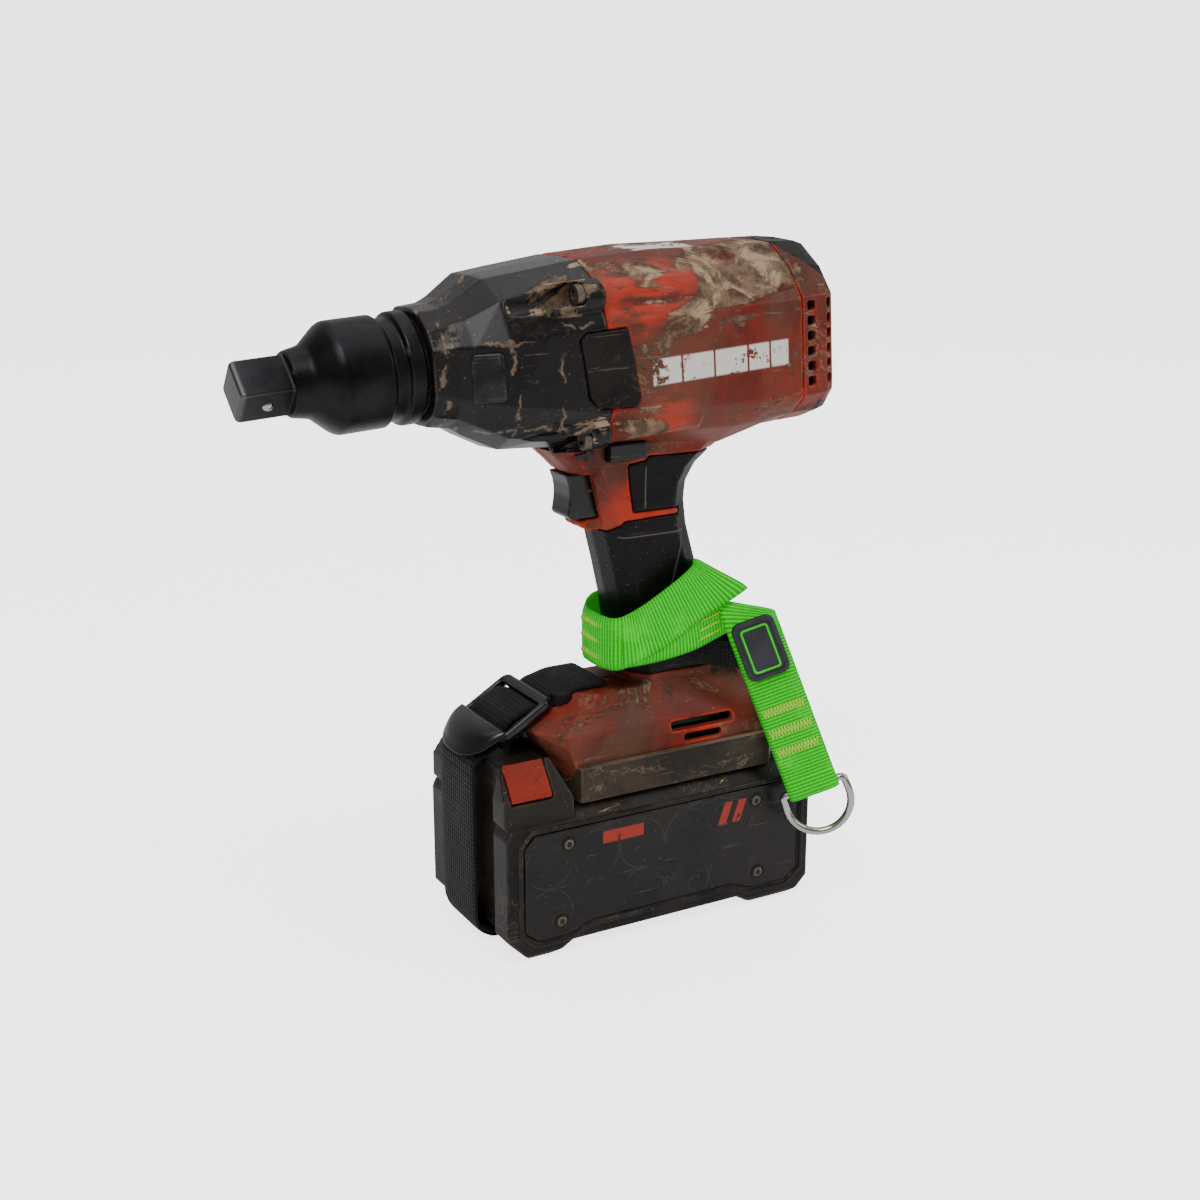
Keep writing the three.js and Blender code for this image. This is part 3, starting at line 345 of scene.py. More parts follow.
RED_SHADES = (srgb("7c2113"), srgb("4f1a11"), srgb("c22a12"))
RED_FRESH = [(on_barrel(-16, s * 36, 23), 0.024) for s in (-1, 1)]
RED_FRESH += [(on_barrel(2, s * 36, 27), 0.02) for s in (-1, 1)]
RED_FRESH += [(on_barrel(-2, s * 36, -31), 0.018) for s in (-1, 1)]
RED_FRESH += [(at(-6, s * 17, 200), 0.022) for s in (-1, 1)]
RED_ZONES = [
    (on_barrel(46, -26, 30), 0.036, 0.17), (on_barrel(20, 10, 40), 0.026, 0.10),
    (on_barrel(26, -42, 8), 0.022, 0.13), (on_barrel(5, -42, 6), 0.016, 0.12),
    (on_barrel(28, -30, 30), 0.02, 0.14), (on_barrel(-8, -34, 32), 0.014, 0.12),
    (on_barrel(70, -30, 25), 0.022, 0.10), (on_barrel(-10, -42, -2), 0.014, 0.12),
    (on_barrel(-14, -40, -36), 0.020, 0.12), (on_barrel(55, -42, -26), 0.016, 0.06),
    (on_barrel(48, 30, 28), 0.034, 0.12), (on_barrel(-14, 40, -36), 0.020, 0.12),
]
RED = worn_plastic(
    "worn_red", *RED_SHADES, 0.035, 0.42, rub=0.9, film=0.45, marks=housing_marks, shine=0.2,
    mark_colour=srgb("d8d3cc"), zones=RED_ZONES, fresh=RED_FRESH)
RED_REAR = worn_plastic(
    "worn_red_rear", *RED_SHADES, 0.05, 0.42, rub=0.9, film=0.5, shine=0.2, zones=RED_ZONES,
    cover=rear_bumper)
BOOT_ZONES = [(on_barrel(-50, s * 36.5, 27), 0.02, 0.17) for s in (-1, 1)]
BOOT_ZONES += [(on_barrel(-42, s * 36, -34), 0.02, 0.15) for s in (-1, 1)]
BOOT_ZONES += [(on_barrel(-97, s * 28, 8), 0.014, 0.08) for s in (-1, 1)]


def guard_dirt(look):
    """Dried mud left in the guard's creases, as wandering lines that stand upright or lie level."""
    wander = look.times(look.math("SUBTRACT", look.noise(70.0, 5.0, 0.6), 0.5), 0.016)
    u, _, v = barrel_axes(look)
    along = look.plus(u, wander)
    up = look.plus(v, wander)
    total = 0.0
    for place, low, high in ((-0.1035, -0.028, 0.024), (-0.0765, -0.03, 0.010), (-0.0535, -0.03, 0.012)):
        line = look.between(along, place, place + 0.0016, 0.0006)
        line = look.times(line, look.between(v, low, high, 0.003))
        total = look.larger(total, line)
    for place, low, high in ((0.0105, -0.102, -0.062), (-0.0285, -0.1, -0.036), (0.0135, -0.056, -0.034)):
        line = look.between(up, place, place + 0.0013, 0.0006)
        line = look.times(line, look.between(u, low, high, 0.003))
        total = look.larger(total, line)
    return look.times(total, look.step(look.noise(95.0, 8.0, 0.7), 0.49, 0.56))


BOOT = worn_plastic(
    "boot_black", srgb("08080c"), srgb("040406"), srgb("3a383c"), -0.015, 0.26, rub=0.7, film=0.05,
    shine=0.24, zones=BOOT_ZONES, marks=guard_dirt, mark_colour=srgb("6a5b4c"))
PAD = worn_plastic(
    "pad_rubber", srgb("151417"), srgb("0d0c0f"), srgb("343233"), -0.01, 0.7, grain=0.0002, film=0.1,
    shine=0.15)


def grip_seam(look):
    """The thin moulded seam in the grip."""
    x, _, z = look.axes(look.map(location=tuple(-c / 1000 for c in BASE)))
    slope = look.plus(x, look.times(look.math("SUBTRACT", z, 0.192), -0.27))
    upright = look.between(slope, 0.0226, 0.0232, 0.0002)
    upright = look.times(upright, look.between(z, 0.148, 0.1905, 0.0003))
    level = look.times(look.between(z, 0.1902, 0.1908, 0.0002), look.between(x, -0.012, 0.023, 0.0004))
    panel = look.times(look.between(x, 0.0005, 0.0012, 0.0002), look.between(z, 0.2035, 0.223, 0.0004))
    return look.larger(look.larger(upright, level), panel)


GRIP = worn_plastic(
    "grip_rubber", srgb("0d0c10"), srgb("08070a"), srgb("242225"), -0.05, 0.42, grain=0.00025, film=0.02,
    shine=0.16, marks=grip_seam, mark_colour=srgb("5c5246"))


def painted_top_highlight(look):
    """A tan painted highlight, in patches, on the faces that look up."""
    patchy = look.step(look.noise(60.0, 8.0, 0.65, look.map(scale=(0.3, 1.0, 1.0))), 0.3, 0.62)
    return look.times(look.step(look.normal_up(), 0.3, 0.62), look.times(patchy, 0.8))


# The trim's tan top is a painted highlight.
TRIM = worn_plastic(
    "trim_black", srgb("1b1612"), srgb("100d0b"), srgb("4b4035"), -0.03, 0.4, rub=0.8, film=0.3, shine=0.2,
    marks=painted_top_highlight, mark_colour=srgb("806c58"))
GLOSSY = worn_plastic(
    "control_black", srgb("0b0b0d"), srgb("060607"), srgb("2b2926"), -0.04, 0.25, rub=0.4, film=0.03,
    shine=0.4, zones=[(at(-18, s * 9, 208), 0.014, 0.15) for s in (-1, 1)])
BUCKLE_LOOK = plain_plastic("buckle_black", srgb("08080a"), 0.3, grain=0.00001)
BUTTON = worn_plastic(
    "button_red", srgb("90200c"), srgb("66180e"), srgb("b0341c"), -0.01, 0.45, film=0.1, shine=0.2)
OXIDE = metal("black_oxide", srgb("29282a"), srgb("161517"), 0.34, 0.7, (1, 6, 6))
STEEL = metal("ground_steel", srgb("a9a9ac"), srgb("6a655e"), 0.3)
NICKEL = metal("nickel", srgb("b9b7b0"), srgb("7d766c"), 0.16, 0.35)
SCREW = metal("dirty_screw", srgb("6f675d"), srgb("40382f"), 0.55, 0.8)
ALLOY = metal("cast_alloy", srgb("9b9ca0"), srgb("6e6d6c"), 0.45)
BRONZE = metal("bronze", srgb("9c7440"), srgb("6b4d28"), 0.4)
COPPER = metal("copper", srgb("b06a3a"), srgb("7a4526"), 0.4)
BOARD = plain_plastic("circuit_board", srgb("1f5a36"), 0.45)
CELL = plain_plastic("cell_wrap", srgb("3c6f8f"), 0.3)
INNER = plain_plastic("inner_plastic", srgb("2f2d31"), 0.5)
LENS = plain_plastic("lens", srgb("c9ccd0"), 0.1, clear=0.6)
BLACK_WEB = webbing_look(
    "web_black", srgb("0c0c0e"), srgb("1c1b1b"), srgb("020203"), 0.0046, 0.0, diamond=True)
GREEN_WEB = webbing_look(
    "web_green", srgb("14f000"), srgb("4cff14"), srgb("029a00"), 0.0017, -0.1, painted_glow=(0.02, 0.9, 0.01, 1.0))


def battery_marks(look):
    """A plain red bar and two slashes on each side of the battery."""
    x, y, z = look.axes(look.map(location=tuple(-c / 1000 for c in BASE)))
    bar = look.times(look.between(x, -0.034, -0.012, 0.0003), look.between(z, 0.0515, 0.0575, 0.0003))
    slant = look.math("SUBTRACT", x, look.times(z, 0.35))
    slashes = [look.between(slant, low, low + 0.0045, 0.0003) for low in (0.0135, 0.0215)]
    pair = look.times(look.larger(*slashes), look.between(z, 0.047, 0.058, 0.0003))
    worn = look.step(look.noise(190.0, 6.0, 0.6), 0.34, 0.42)
    return look.times(look.larger(bar, pair), worn)


def cell_lines(look):
    """Faint moulded circles over the cells and a seam across the middle."""
    x, _, z = look.axes(look.map(location=tuple(-c / 1000 for c in BASE)))
    pitch = 0.025
    fold = look.math("SUBTRACT", look.math("FLOORED_MODULO", x, pitch), pitch / 2)
    up = look.math("SUBTRACT", look.math("FLOORED_MODULO", look.plus(z, -0.0095), pitch), pitch / 2)
    reach = look.math("SQRT", look.plus(look.times(fold, fold), look.times(up, up)))
    rings = look.between(reach, 0.0118, 0.0122, 0.0002)
    seam = look.times(look.between(z, 0.0342, 0.0348, 0.0002), look.between(x, -0.062, 0.06, 0.001))
    patchy = look.step(look.noise(60.0, 5.0, 0.6), 0.45, 0.6)
    return look.times(look.larger(rings, seam), patchy)


CASE_SHADES = (srgb("0e0d0f"), srgb("080709"), srgb("332f2c"))
CASE = worn_plastic("battery_case", *CASE_SHADES, 0.0, 0.42, grain=0.00012, rub=0.7, film=0.12, shine=0.2)
PANEL = worn_plastic(
    "battery_panel", srgb("0a090b"), srgb("060507"), srgb("2a2827"), -0.02, 0.32, grain=0.00006, rub=0.5,
    film=0.06, shine=0.28, marks=battery_marks, mark_colour=srgb("9c2a1a"), lines=cell_lines)

# ---- CAD nodes that keep their shape: rounded by a fine remesh where they are moulded ----


def dress(names, material, voxel=None, passes=3):
    for name in names:
        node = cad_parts[name]
        node.data.materials.clear()
        node.data.materials.append(material)
        if voxel:
            remesh = node.modifiers.new("round", "REMESH")
            remesh.mode = "VOXEL"
            remesh.voxel_size = voxel * 1.0
            remesh.use_smooth_shade = True
            smooth = node.modifiers.new("soften", "SMOOTH")
            smooth.factor = 0.5
            smooth.iterations = passes


dress(["housing_left", "housing_right"], RED, 0.0008, 4)
dress(["rear_cap"], RED_REAR, 0.0005, 1)
dress(["front_guard"], BOOT, 0.0007, 3)
dress(["pad_left", "pad_right"], PAD, 0.0004, 3)
dress(["grip"], GRIP, 0.0006, 14)
dress(["foot_rim_left", "foot_rim_right"], TRIM, 0.0005, 3)
dress(["trigger"], GLOSSY, 0.0005, 14)
dress(["direction_switch"], GLOSSY, 0.0004, 6)
dress(["mode_key"], PAD, 0.0003, 3)
dress(["battery_case"], CASE, 0.0008, 3)
dress(["battery_panel_left", "battery_panel_right"], PANEL, 0.0005, 2)
dress(["release_button_left", "release_button_right"], BUTTON, 0.0004, 4)
dress(["guard_screw_1", "guard_screw_2", "guard_screw_3", "guard_screw_4"], SCREW, 0.00025, 2)
dress(["anvil", "hammer", "hammer_spring", "spindle", "planet_1", "planet_2", "planet_3", "ring_gear",
       "rotor", "rear_bearing", "front_bearing"], STEEL)
dress(["hammer_case"], ALLOY)
dress(["nose_bush"], BRONZE)
dress(["stator", "contacts"], COPPER)
dress(["fan", "switch_module", "terminal_block"], INNER)
dress(["controller", "battery_board"], BOARD)
dress(["cell_block"], CELL)
dress(["light_lens"], LENS)
dress(["retaining_pin"], STEEL)
dress(["detent_ball"], NICKEL)

# ---- Mesh pieces ----


def mesh_piece(name, points, faces, material, body, replaced=(), smooth=True):
    mesh = bpy.data.meshes.new(name)
    mesh.from_pydata([tuple(p) for p in points], [], faces)
    mesh.validate()
    mesh.materials.append(material)
    for polygon in mesh.polygons:
        polygon.use_smooth = smooth
    piece = bpy.data.objects.new(name, mesh)
    bpy.context.collection.objects.link(piece)
    if body:
        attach(piece, body)
    if replaced:
        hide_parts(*replaced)
    return piece


def lathe(outline, frame_point, sides):
    """A closed turned skin; frame_point places (u, across, up) in the scene."""
    points, faces = [], []
    for u, radius in outline:
        for k in range(sides):
            turn = 2 * math.pi * k / sides
            points.append(frame_point(u, radius * math.cos(turn), radius * math.sin(turn)))
    rows = len(outline)
    for i in range(rows):
        for k in range(sides):
            a, b = i * sides + k, i * sides + (k + 1) % sides
            c, d = ((i + 1) % rows) * sides + (k + 1) % sides, ((i + 1) % rows) * sides + k
            faces.append((a, b, c, d))
    return points, faces


def rounded(outline, radius, steps=4):
    """An open outline of [u, r] with its inner corners rounded."""
    result = [outline[0]]
    for before, here, after in zip(outline, outline[1:], outline[2:]):
        p, a, b = Vector(here), Vector(before), Vector(after)
        cut = min(radius, (a - p).length * 0.45, (b - p).length * 0.45)
        start, end = p + (a - p).normalized() * cut, p + (b - p).normalized() * cut
        for k in range(steps + 1):
            t = k / steps
            result.append(tuple(start * (1 - t) ** 2 + p * 2 * t * (1 - t) + end * t ** 2))
    result.append(outline[-1])
    return result


DRIVE_SQUARE = 19.05


def drive_adapter():
    """The turned sleeve and cone, and the square tang with rounded corners in front of them."""
    outline = rounded([
        (-134, 13.9), (-163.5, 9.6), (-163.5, 13.6), (-162.6, 14.2), (-155, 15.7), (-146.5, 23),
        (-144, 24.3), (-123.4, 24.3), (-122.4, 22.4), (-116.6, 22.4), (-115.6, 24.6), (-109.6, 24.6),
        (-108.6, 23.6), (-108.6, 14.1), (-134, 14.1),
    ], 1.6)
    points, faces = lathe(outline, on_barrel, 96)
    half, corner = DRIVE_SQUARE / 2, 1.6
    ring = []
    for k in range(4):
        turn = math.pi / 4 + k * math.pi / 2
        for j in range(4):
            bend = (j / 3) * math.pi / 2
            y = half - corner + corner * math.cos(bend)
            z = half - corner + corner * math.sin(bend)
            ring.append((y * math.cos(turn) - z * math.sin(turn), y * math.sin(turn) + z * math.cos(turn)))
    stations = [
        (-186.6, 0.86), (-186.2, 0.93), (-185.2, 0.985), (-183.8, 1.0), (-165, 1.0), (-163.8, 1.02),
        (-160, 1.1)]
    first = len(points)
    for u, grow in stations:
        points += [on_barrel(u, y * grow, z * grow) for y, z in ring]
    count = len(ring)
    for i in range(len(stations) - 1):
        for k in range(count):
            a, b = first + i * count + k, first + i * count + (k + 1) % count
            faces.append((a, b, b + count, a + count))
    faces.append(tuple(range(first + count - 1, first - 1, -1)))
    faces.append(tuple(range(first + (len(stations) - 1) * count, first + len(stations) * count)))
    piece = mesh_piece(
        "adapter_body", points, faces, OXIDE, "anvil_body", ("drive_adapter",))
    piece.modifiers.new("corners", "WEIGHTED_NORMAL").keep_sharp = True
    return piece


drive_adapter()

# ---- Bands of webbing ----


def smooth_path(points, per_span=8, closed=False):
    """A Catmull-Rom curve through the points."""
    points = [Vector(p) for p in points]
    n = len(points)
    spans = n if closed else n - 1
    result = []
    for i in range(spans):
        def pick(k):
            return points[k % n] if closed else points[min(max(k, 0), n - 1)]
        a, b, c, d = pick(i - 1), pick(i), pick(i + 1), pick(i + 2)
        for step in range(per_span):
            t = step / per_span
            result.append(0.5 * (2 * b + (c - a) * t + (2 * a - 5 * b + 4 * c - d) * t * t
                                 + (3 * b - a - 3 * c + d) * t ** 3))
    if not closed:
        result.append(points[-1])
    return result


def band(name, centres, acrosses, width, thick, material, body, replaced=(), closed=False):
    """A strip of webbing: a rounded flat section swept along the centres, with length and width as its UVs.
    The acrosses run over the strip; they are one long where it isn't cut at a slant."""
    sections = 14
    outline = []
    for k in range(sections + 1):
        s = -1 + 2 * k / sections
        lift = 0.5 * thick * (1 - abs(s) ** 8)
        outline.append((s, lift))
    under = [(s, -lift) for s, lift in reversed(outline[1:-1])]
    ring = outline + under
    points, widths, lengths = [], [], []
    count = len(centres)
    run = 0.0
    for i, centre in enumerate(centres):
        before = centres[(i - 1) % count] if closed or i else centres[0]
        after = centres[(i + 1) % count] if closed or i < count - 1 else centres[-1]
        along = (after - before).normalized()
        across = acrosses[i]
        out = along.cross(across).normalized()
        if i:
            run += (centre - centres[i - 1]).length
        for s, lift in ring:
            points.append(centre + across * (s * width / 2) + out * lift)
            widths.append(s * width / 2)
            lengths.append(run)
    faces = []
    size = len(ring)
    for i in range(count if closed else count - 1):
        for k in range(size):
            a, b = i * size + k, i * size + (k + 1) % size
            c, d = ((i + 1) % count) * size + (k + 1) % size, ((i + 1) % count) * size + k
            faces.append((a, b, c, d))
    if not closed:
        faces.append(tuple(reversed(range(size))))
        faces.append(tuple(range((count - 1) * size, count * size)))
    points = [p / 1000 for p in points]
    piece = mesh_piece(name, points, faces, material, body, replaced)
    layer = piece.data.uv_layers.new(name="flat")
    for loop in piece.data.loops:
        k = loop.vertex_index
        layer.data[loop.index].uv = (lengths[k] / 1000, widths[k] / 1000)
    return piece


def base_points(points):
    return [BASE + Vector(p) for p in points]


ACROSS = Vector((0.0, 1.0, 0.0))
UPRIGHT = Vector((0.0, 0.0, 1.0))
STRAP_Y = 7.0
WEB_BLACK = 38.0
WEB_GREEN = 25.4
WEB_THICK = 1.9


def on_strap(outline):
    """Points on the middle line of the black strap."""
    return [Vector((x, STRAP_Y, z)) for x, z in outline]


def black_strap(name, outline, body, replaced):
    path = smooth_path(base_points(on_strap(outline)))
    return band(name, path, [ACROSS] * len(path), WEB_BLACK, WEB_THICK, BLACK_WEB, body,
                replaced)


black_strap("battery_strap", [
    (-85.6, 84), (-85.7, 70), (-85.7, 45), (-85.6, 22), (-84.8, 9), (-80, 3), (-72, 1.6), (-45, 1.5),
    (0, 1.5), (45, 1.5), (72, 1.6), (80, 3), (84.6, 9), (85.5, 22), (85.6, 50), (85.2, 78),
    (83.4, 89), (80, 95.5),
], "battery", ("strap_battery",))
black_strap("rear_strap", [
    (79.2, 98.4), (76, 103), (71.3, 108.4), (67, 113.4), (63, 117.4),
], "body", ("strap_rear",))

BUCKLE_TILT = math.radians(31)
BUCKLE_MIDDLE = Vector((-66.0, STRAP_Y, 104.5))
buckle_along = Vector((math.cos(BUCKLE_TILT), 0.0, math.sin(BUCKLE_TILT)))
buckle_out = Vector((-math.sin(BUCKLE_TILT), 0.0, math.cos(BUCKLE_TILT)))


def on_buckle(a, b, n):
    """A point along, across and out of the buckle, in millimetres of the base frame."""
    return BUCKLE_MIDDLE + buckle_along * a + Vector((0.0, b, 0.0)) + buckle_out * n


def buckle_strap():
    """The strap from the battery's front, through the buckle over its bar, to the handle."""
    through = [on_buckle(a, 0.0, n) for a, n in [
        (-15, -2.6), (-9, -2.2), (-4.5, 0.8), (-1, 2.8), (2.5, 3.4), (6.5, 2.6), (11, 2.0), (14.5, 0.9),
        (18.5, -3.4), (27, -4.0)]]
    line = on_strap([(-85.5, 83.6), (-85.2, 88.6), (-83.0, 92.0)]) + through
    line += on_strap([(-37, 116.0), (-29, 117.8), (-20, 118.0), (-14.5, 118.0)])
    path = smooth_path(base_points(line), 6)
    piece = band("buckle_strap", path, [ACROSS] * len(path), WEB_BLACK, WEB_THICK, BLACK_WEB, None,
                 ("strap_upper",))
    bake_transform(piece)
    return piece


buckle_strap()
lower_run = [on_buckle(a, 0.0, n) for a, n in [(-9, -5.0), (0, -4.9), (10, -5.2), (24, -5.5)]]
lower_run += on_strap([(-36, 113.8), (-26, 115.7), (-17, 116.0)])
lower_path = smooth_path(base_points(lower_run), 6)
band("buckle_strap_lower", lower_path, [ACROSS] * len(lower_path), WEB_BLACK, WEB_THICK, BLACK_WEB, "body")


def flat_shape(name, outlines, place, thick, edge, material, body, replaced=()):
    """A plate with rounded edges; its outlines are the outside and then any holes, in its own plane."""
    curve = bpy.data.curves.new(name, "CURVE")
    curve.dimensions = "2D"
    curve.fill_mode = "BOTH"
    curve.extrude = (thick / 2 - edge) / 1000
    curve.bevel_depth = edge / 1000
    curve.bevel_resolution = 3
    curve.offset = -edge / 1000
    for outline in outlines:
        line = curve.splines.new("POLY")
        line.points.add(len(outline) - 1)
        for point, (x, y) in zip(line.points, outline):
            point.co = (x / 1000, y / 1000, 0.0, 1.0)
        line.use_cyclic_u = True
    curve.materials.append(material)
    piece = bpy.data.objects.new(name, curve)
    piece.matrix_world = place
    bpy.context.collection.objects.link(piece)
    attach(piece, body)
    if replaced:
        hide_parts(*replaced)
    return piece


def rounded_box(x0, x1, y0, y1, radius, steps=5):
    """A rounded rectangle as a list of corners, anticlockwise."""
    result = []
    left, right, low, high = x0 + radius, x1 - radius, y0 + radius, y1 - radius
    for start, (cx, cy) in enumerate([(right, high), (left, high), (left, low), (right, low)]):
        for k in range(steps + 1):
            turn = (start + k / steps) * math.pi / 2
            result.append((cx + radius * math.cos(turn), cy + radius * math.sin(turn)))
    return result


def plane_at(origin, first, second):
    """A placing matrix with its X and Y along first and second, and its origin in millimetres."""
    first = first.normalized()
    third = first.cross(second).normalized()
    second = third.cross(first)
    matrix = Matrix((first, second, third)).transposed().to_4x4()
    matrix.translation = origin / 1000
    return matrix


LIP_ROOT = 3.0
LIP_REACH = 18.5
LIP_HALF = 23.4


def buckle():
    """The frame with its two slots, and the bulged lip that reaches forward over the battery."""
    place = plane_at(BASE + BUCKLE_MIDDLE, buckle_along, ACROSS)
    frame_outline = rounded_box(-9, 22.5, -22.8, 22.8, 4.5)
    slots = [rounded_box(-6, 0.5, -19.8, 19.8, 1.5), rounded_box(4.2, 17.4, -19.6, 19.6, 1.5)]
    flat_shape("buckle_frame", [frame_outline, *slots], place, 4.6, 1.4, BUCKLE_LOOK, "body",
               ("buckle",))
    points, faces = [], []
    across_steps, along_steps = 24, 10
    for side in (1, -1):
        for i in range(along_steps + 1):
            t = i / along_steps
            for k in range(across_steps + 1):
                s = -1 + 2 * k / across_steps
                reach = LIP_ROOT + LIP_REACH * math.sqrt(max(0.0, 1 - abs(s) ** 2.4))
                a = -4.5 - t * reach
                droop = 0.9 * t * t * (reach / (LIP_ROOT + LIP_REACH))
                thick = (2.6 * (1 - t ** 3) + 0.25) * (0.35 + 0.65 * math.sqrt(max(0.0, 1 - s ** 6)))
                n = 2.6 - droop + 2.4 * math.sin(math.pi * min(1.0, t * 1.1)) * (1 - s * s) + side * thick
                points.append((BASE + on_buckle(a, s * LIP_HALF, n)) / 1000)
    row = across_steps + 1
    layer = row * (along_steps + 1)
    for side in (0, 1):
        for i in range(along_steps):
            for k in range(across_steps):
                a = side * layer + i * row + k
                quad = (a, a + 1, a + row + 1, a + row)
                faces.append(quad if side else tuple(reversed(quad)))
    rim = list(range(row))
    rim += [i * row + row - 1 for i in range(1, along_steps + 1)]
    rim += [along_steps * row + k for k in range(row - 2, -1, -1)]
    rim += [i * row for i in range(along_steps - 1, 0, -1)]
    for a, b in zip(rim, rim[1:] + rim[:1]):
        faces.append((a, b, b + layer, a + layer))
    lip = mesh_piece("buckle_lip", points, faces, BUCKLE_LOOK, "body")
    lip.modifiers.new("rounding", "SUBSURF").render_levels = 2
    lip.modifiers["rounding"].levels = 2


buckle()

ROOT = [
    (-13, -8, 136), (-4, -20.5, 137), (12, -21.5, 136), (30, -22.5, 131), (46, -24, 126.5),
    (58, -20, 124.5), (62, 0, 124), (56, 19, 124), (40, 24, 124), (12, 24, 126), (-4, 20.5, 130),
    (-13, 8, 134)]
root_path = smooth_path(base_points(ROOT), 7, True)
band("root_strap", root_path, [UPRIGHT] * len(root_path), 13.0, 2.4, BLACK_WEB, "body",
     ("strap_root",), closed=True)

LOOP = [
    ((-19.4, -14, 141), UPRIGHT), ((-17.6, -22.6, 141.2), UPRIGHT), ((-12, -25.6, 143), (-0.1, 0, 1)),
    ((2, -27.4, 149), (-0.4, 0, 0.92)), ((20, -28.6, 159.5), (-0.5, 0, 0.87)),
    ((31, -28.2, 165), (-0.8, 0, 0.83)), ((38.1, -26.5, 168.6), (-1.2, 0.05, 0.7)),
    ((41.5, -19, 166.5), (-0.95, 0.1, 0.72)), ((47, -6, 158.5), (-0.5, 0.1, 0.88)),
    ((46.5, 9, 150.5), (-0.2, 0, 1)), ((39, 20.5, 146), UPRIGHT), ((20, 24.5, 143.5), UPRIGHT),
    ((2, 23, 142), UPRIGHT), ((-9, 17, 141.5), UPRIGHT), ((-18.6, 3, 141), UPRIGHT),
]
UNDER = [((-13, -24.2, 142), UPRIGHT), ((4, -25.2, 142.6), UPRIGHT), ((20, -25.9, 145), (-0.15, 0, 1)),
         ((33, -25.2, 148.5), (-0.2, 0, 1)), ((45, -23, 151.5), (-0.2, 0, 1))]
FRONT = [((-20.4, 2, 141.2), UPRIGHT), ((-21.2, -7, 141.2), UPRIGHT), ((-21.0, -16, 141.3), UPRIGHT),
         ((-18.9, -23.6, 141.8), UPRIGHT), ((-15.5, -26.2, 142.6), UPRIGHT)]


def green_band(name, stations, closed, replaced=()):
    path = smooth_path(base_points([place for place, _ in stations]), 9, closed)
    leans = smooth_path([lean for _, lean in stations], 9, closed)
    return band(name, path, leans, WEB_GREEN, WEB_THICK, GREEN_WEB, "body", replaced,
                closed=closed)


green_band("loop_outer", LOOP, True, ("tether_loop",))
green_band("loop_under", UNDER, False)
green_band("loop_end", FRONT, False)

TAIL_TOP = Vector((47.0, -37.0, 151.0))
TAIL_BOTTOM = Vector((77.0, -55.0, 60.0))
FACING = Vector((-0.46, -0.87, -0.02))
tail_along = (TAIL_BOTTOM - TAIL_TOP).normalized()
tail_across = tail_along.cross(FACING).normalized()
tail_out = tail_across.cross(tail_along).normalized()
tail_length = (TAIL_BOTTOM - TAIL_TOP).length


def on_tail(down, across, out):
    """A point of the hanging tail, in millimetres of the scene."""
    return BASE + TAIL_TOP + tail_along * down + tail_across * across + tail_out * out


def tail_layer(name, outs, replaced=()):
    """One layer of the tail; outs are [distance down, distance out]."""
    path = smooth_path([on_tail(down, 0.0, out) for down, out in outs], 8)
    acrosses = []
    for point in path:
        down = (point - BASE - TAIL_TOP).dot(tail_along)
        acrosses.append(tail_across - tail_along * 0.6 * min(1.0, max(0.0, 1 - down / 15)))
    return band(name, path, acrosses, WEB_GREEN, 1.7, GREEN_WEB, "body", replaced)


BAR = tail_length - 3.1
around = [(BAR + 3.4 * math.sin(a), 3.4 * math.cos(a)) for a in [math.pi * k / 8 for k in range(9)]]
front_run = [
    (-1, -9), (2, -6), (6, -2.4), (12, 0.4), (20, 0.95), (50, 0.95), (75, 0.95), (84, 1.3), (BAR - 6, 2.9)]
back_run = [
    (BAR - 6, -2.9), (84, -1.3), (75, -0.95), (40, -0.95), (20, -0.95), (12, -1.5), (6, -4.3), (2, -8),
    (-1, -11)]
tail_layer("tail_webbing", front_run + around + back_run, ("tether_tail",))


def patch_look():
    look = Look("patch_rubber")
    grain = look.noise(600.0, 3.0, 0.5)
    tone = look.mix(look.step(look.noise(60.0, 5.0), 0.4, 0.6), srgb("1d1d24"), srgb("2a2a34"))
    look.set(Base_Color=tone, Roughness=look.plus(0.5, look.times(grain, 0.2)))
    look.set(Normal=look.bump(grain, 0.00005))
    return look.material


PATCH = patch_look()
PATCH_DOWN = 17.7
tail_place = plane_at(on_tail(PATCH_DOWN, 0.0, 0.0), tail_across, -tail_along)


def patch_part(name, half_across, half_down, radius, low, thick, edge, material, hole=None,
               replaced=()):
    """A plate of the patch; low is how far its back stands off the middle of the tail."""
    outlines = [rounded_box(-half_across, half_across, -half_down, half_down, radius)]
    if hole:
        outlines.append(rounded_box(-hole[0], hole[0], -hole[1], hole[1], radius * 0.6))
    place = tail_place.copy()
    place.translation = on_tail(PATCH_DOWN, 0.0, low + thick / 2) / 1000
    flat_shape(name, outlines, place, thick, edge, material, "body", replaced)


patch_part(
    "patch_rubber", 10.6, 15.2, 4.2, 1.9, 2.2, 0.8, PATCH, replaced=("tether_patch",))
patch_part("patch_rim", 10.4, 15.0, 4.0, 3.5, 1.4, 0.55, PATCH, hole=(8.2, 12.8))
patch_part("patch_line", 6.9, 11.5, 1.8, 3.9, 0.8, 0.3, GREEN_WEB, hole=(5.9, 10.5))


def thread_look():
    look = Look("stitch_thread")
    look.set(Base_Color=look.mix(look.noise(300.0), srgb("8fd421"), srgb("c9e645")), Roughness=0.7)
    return look.material


THREAD = thread_look()


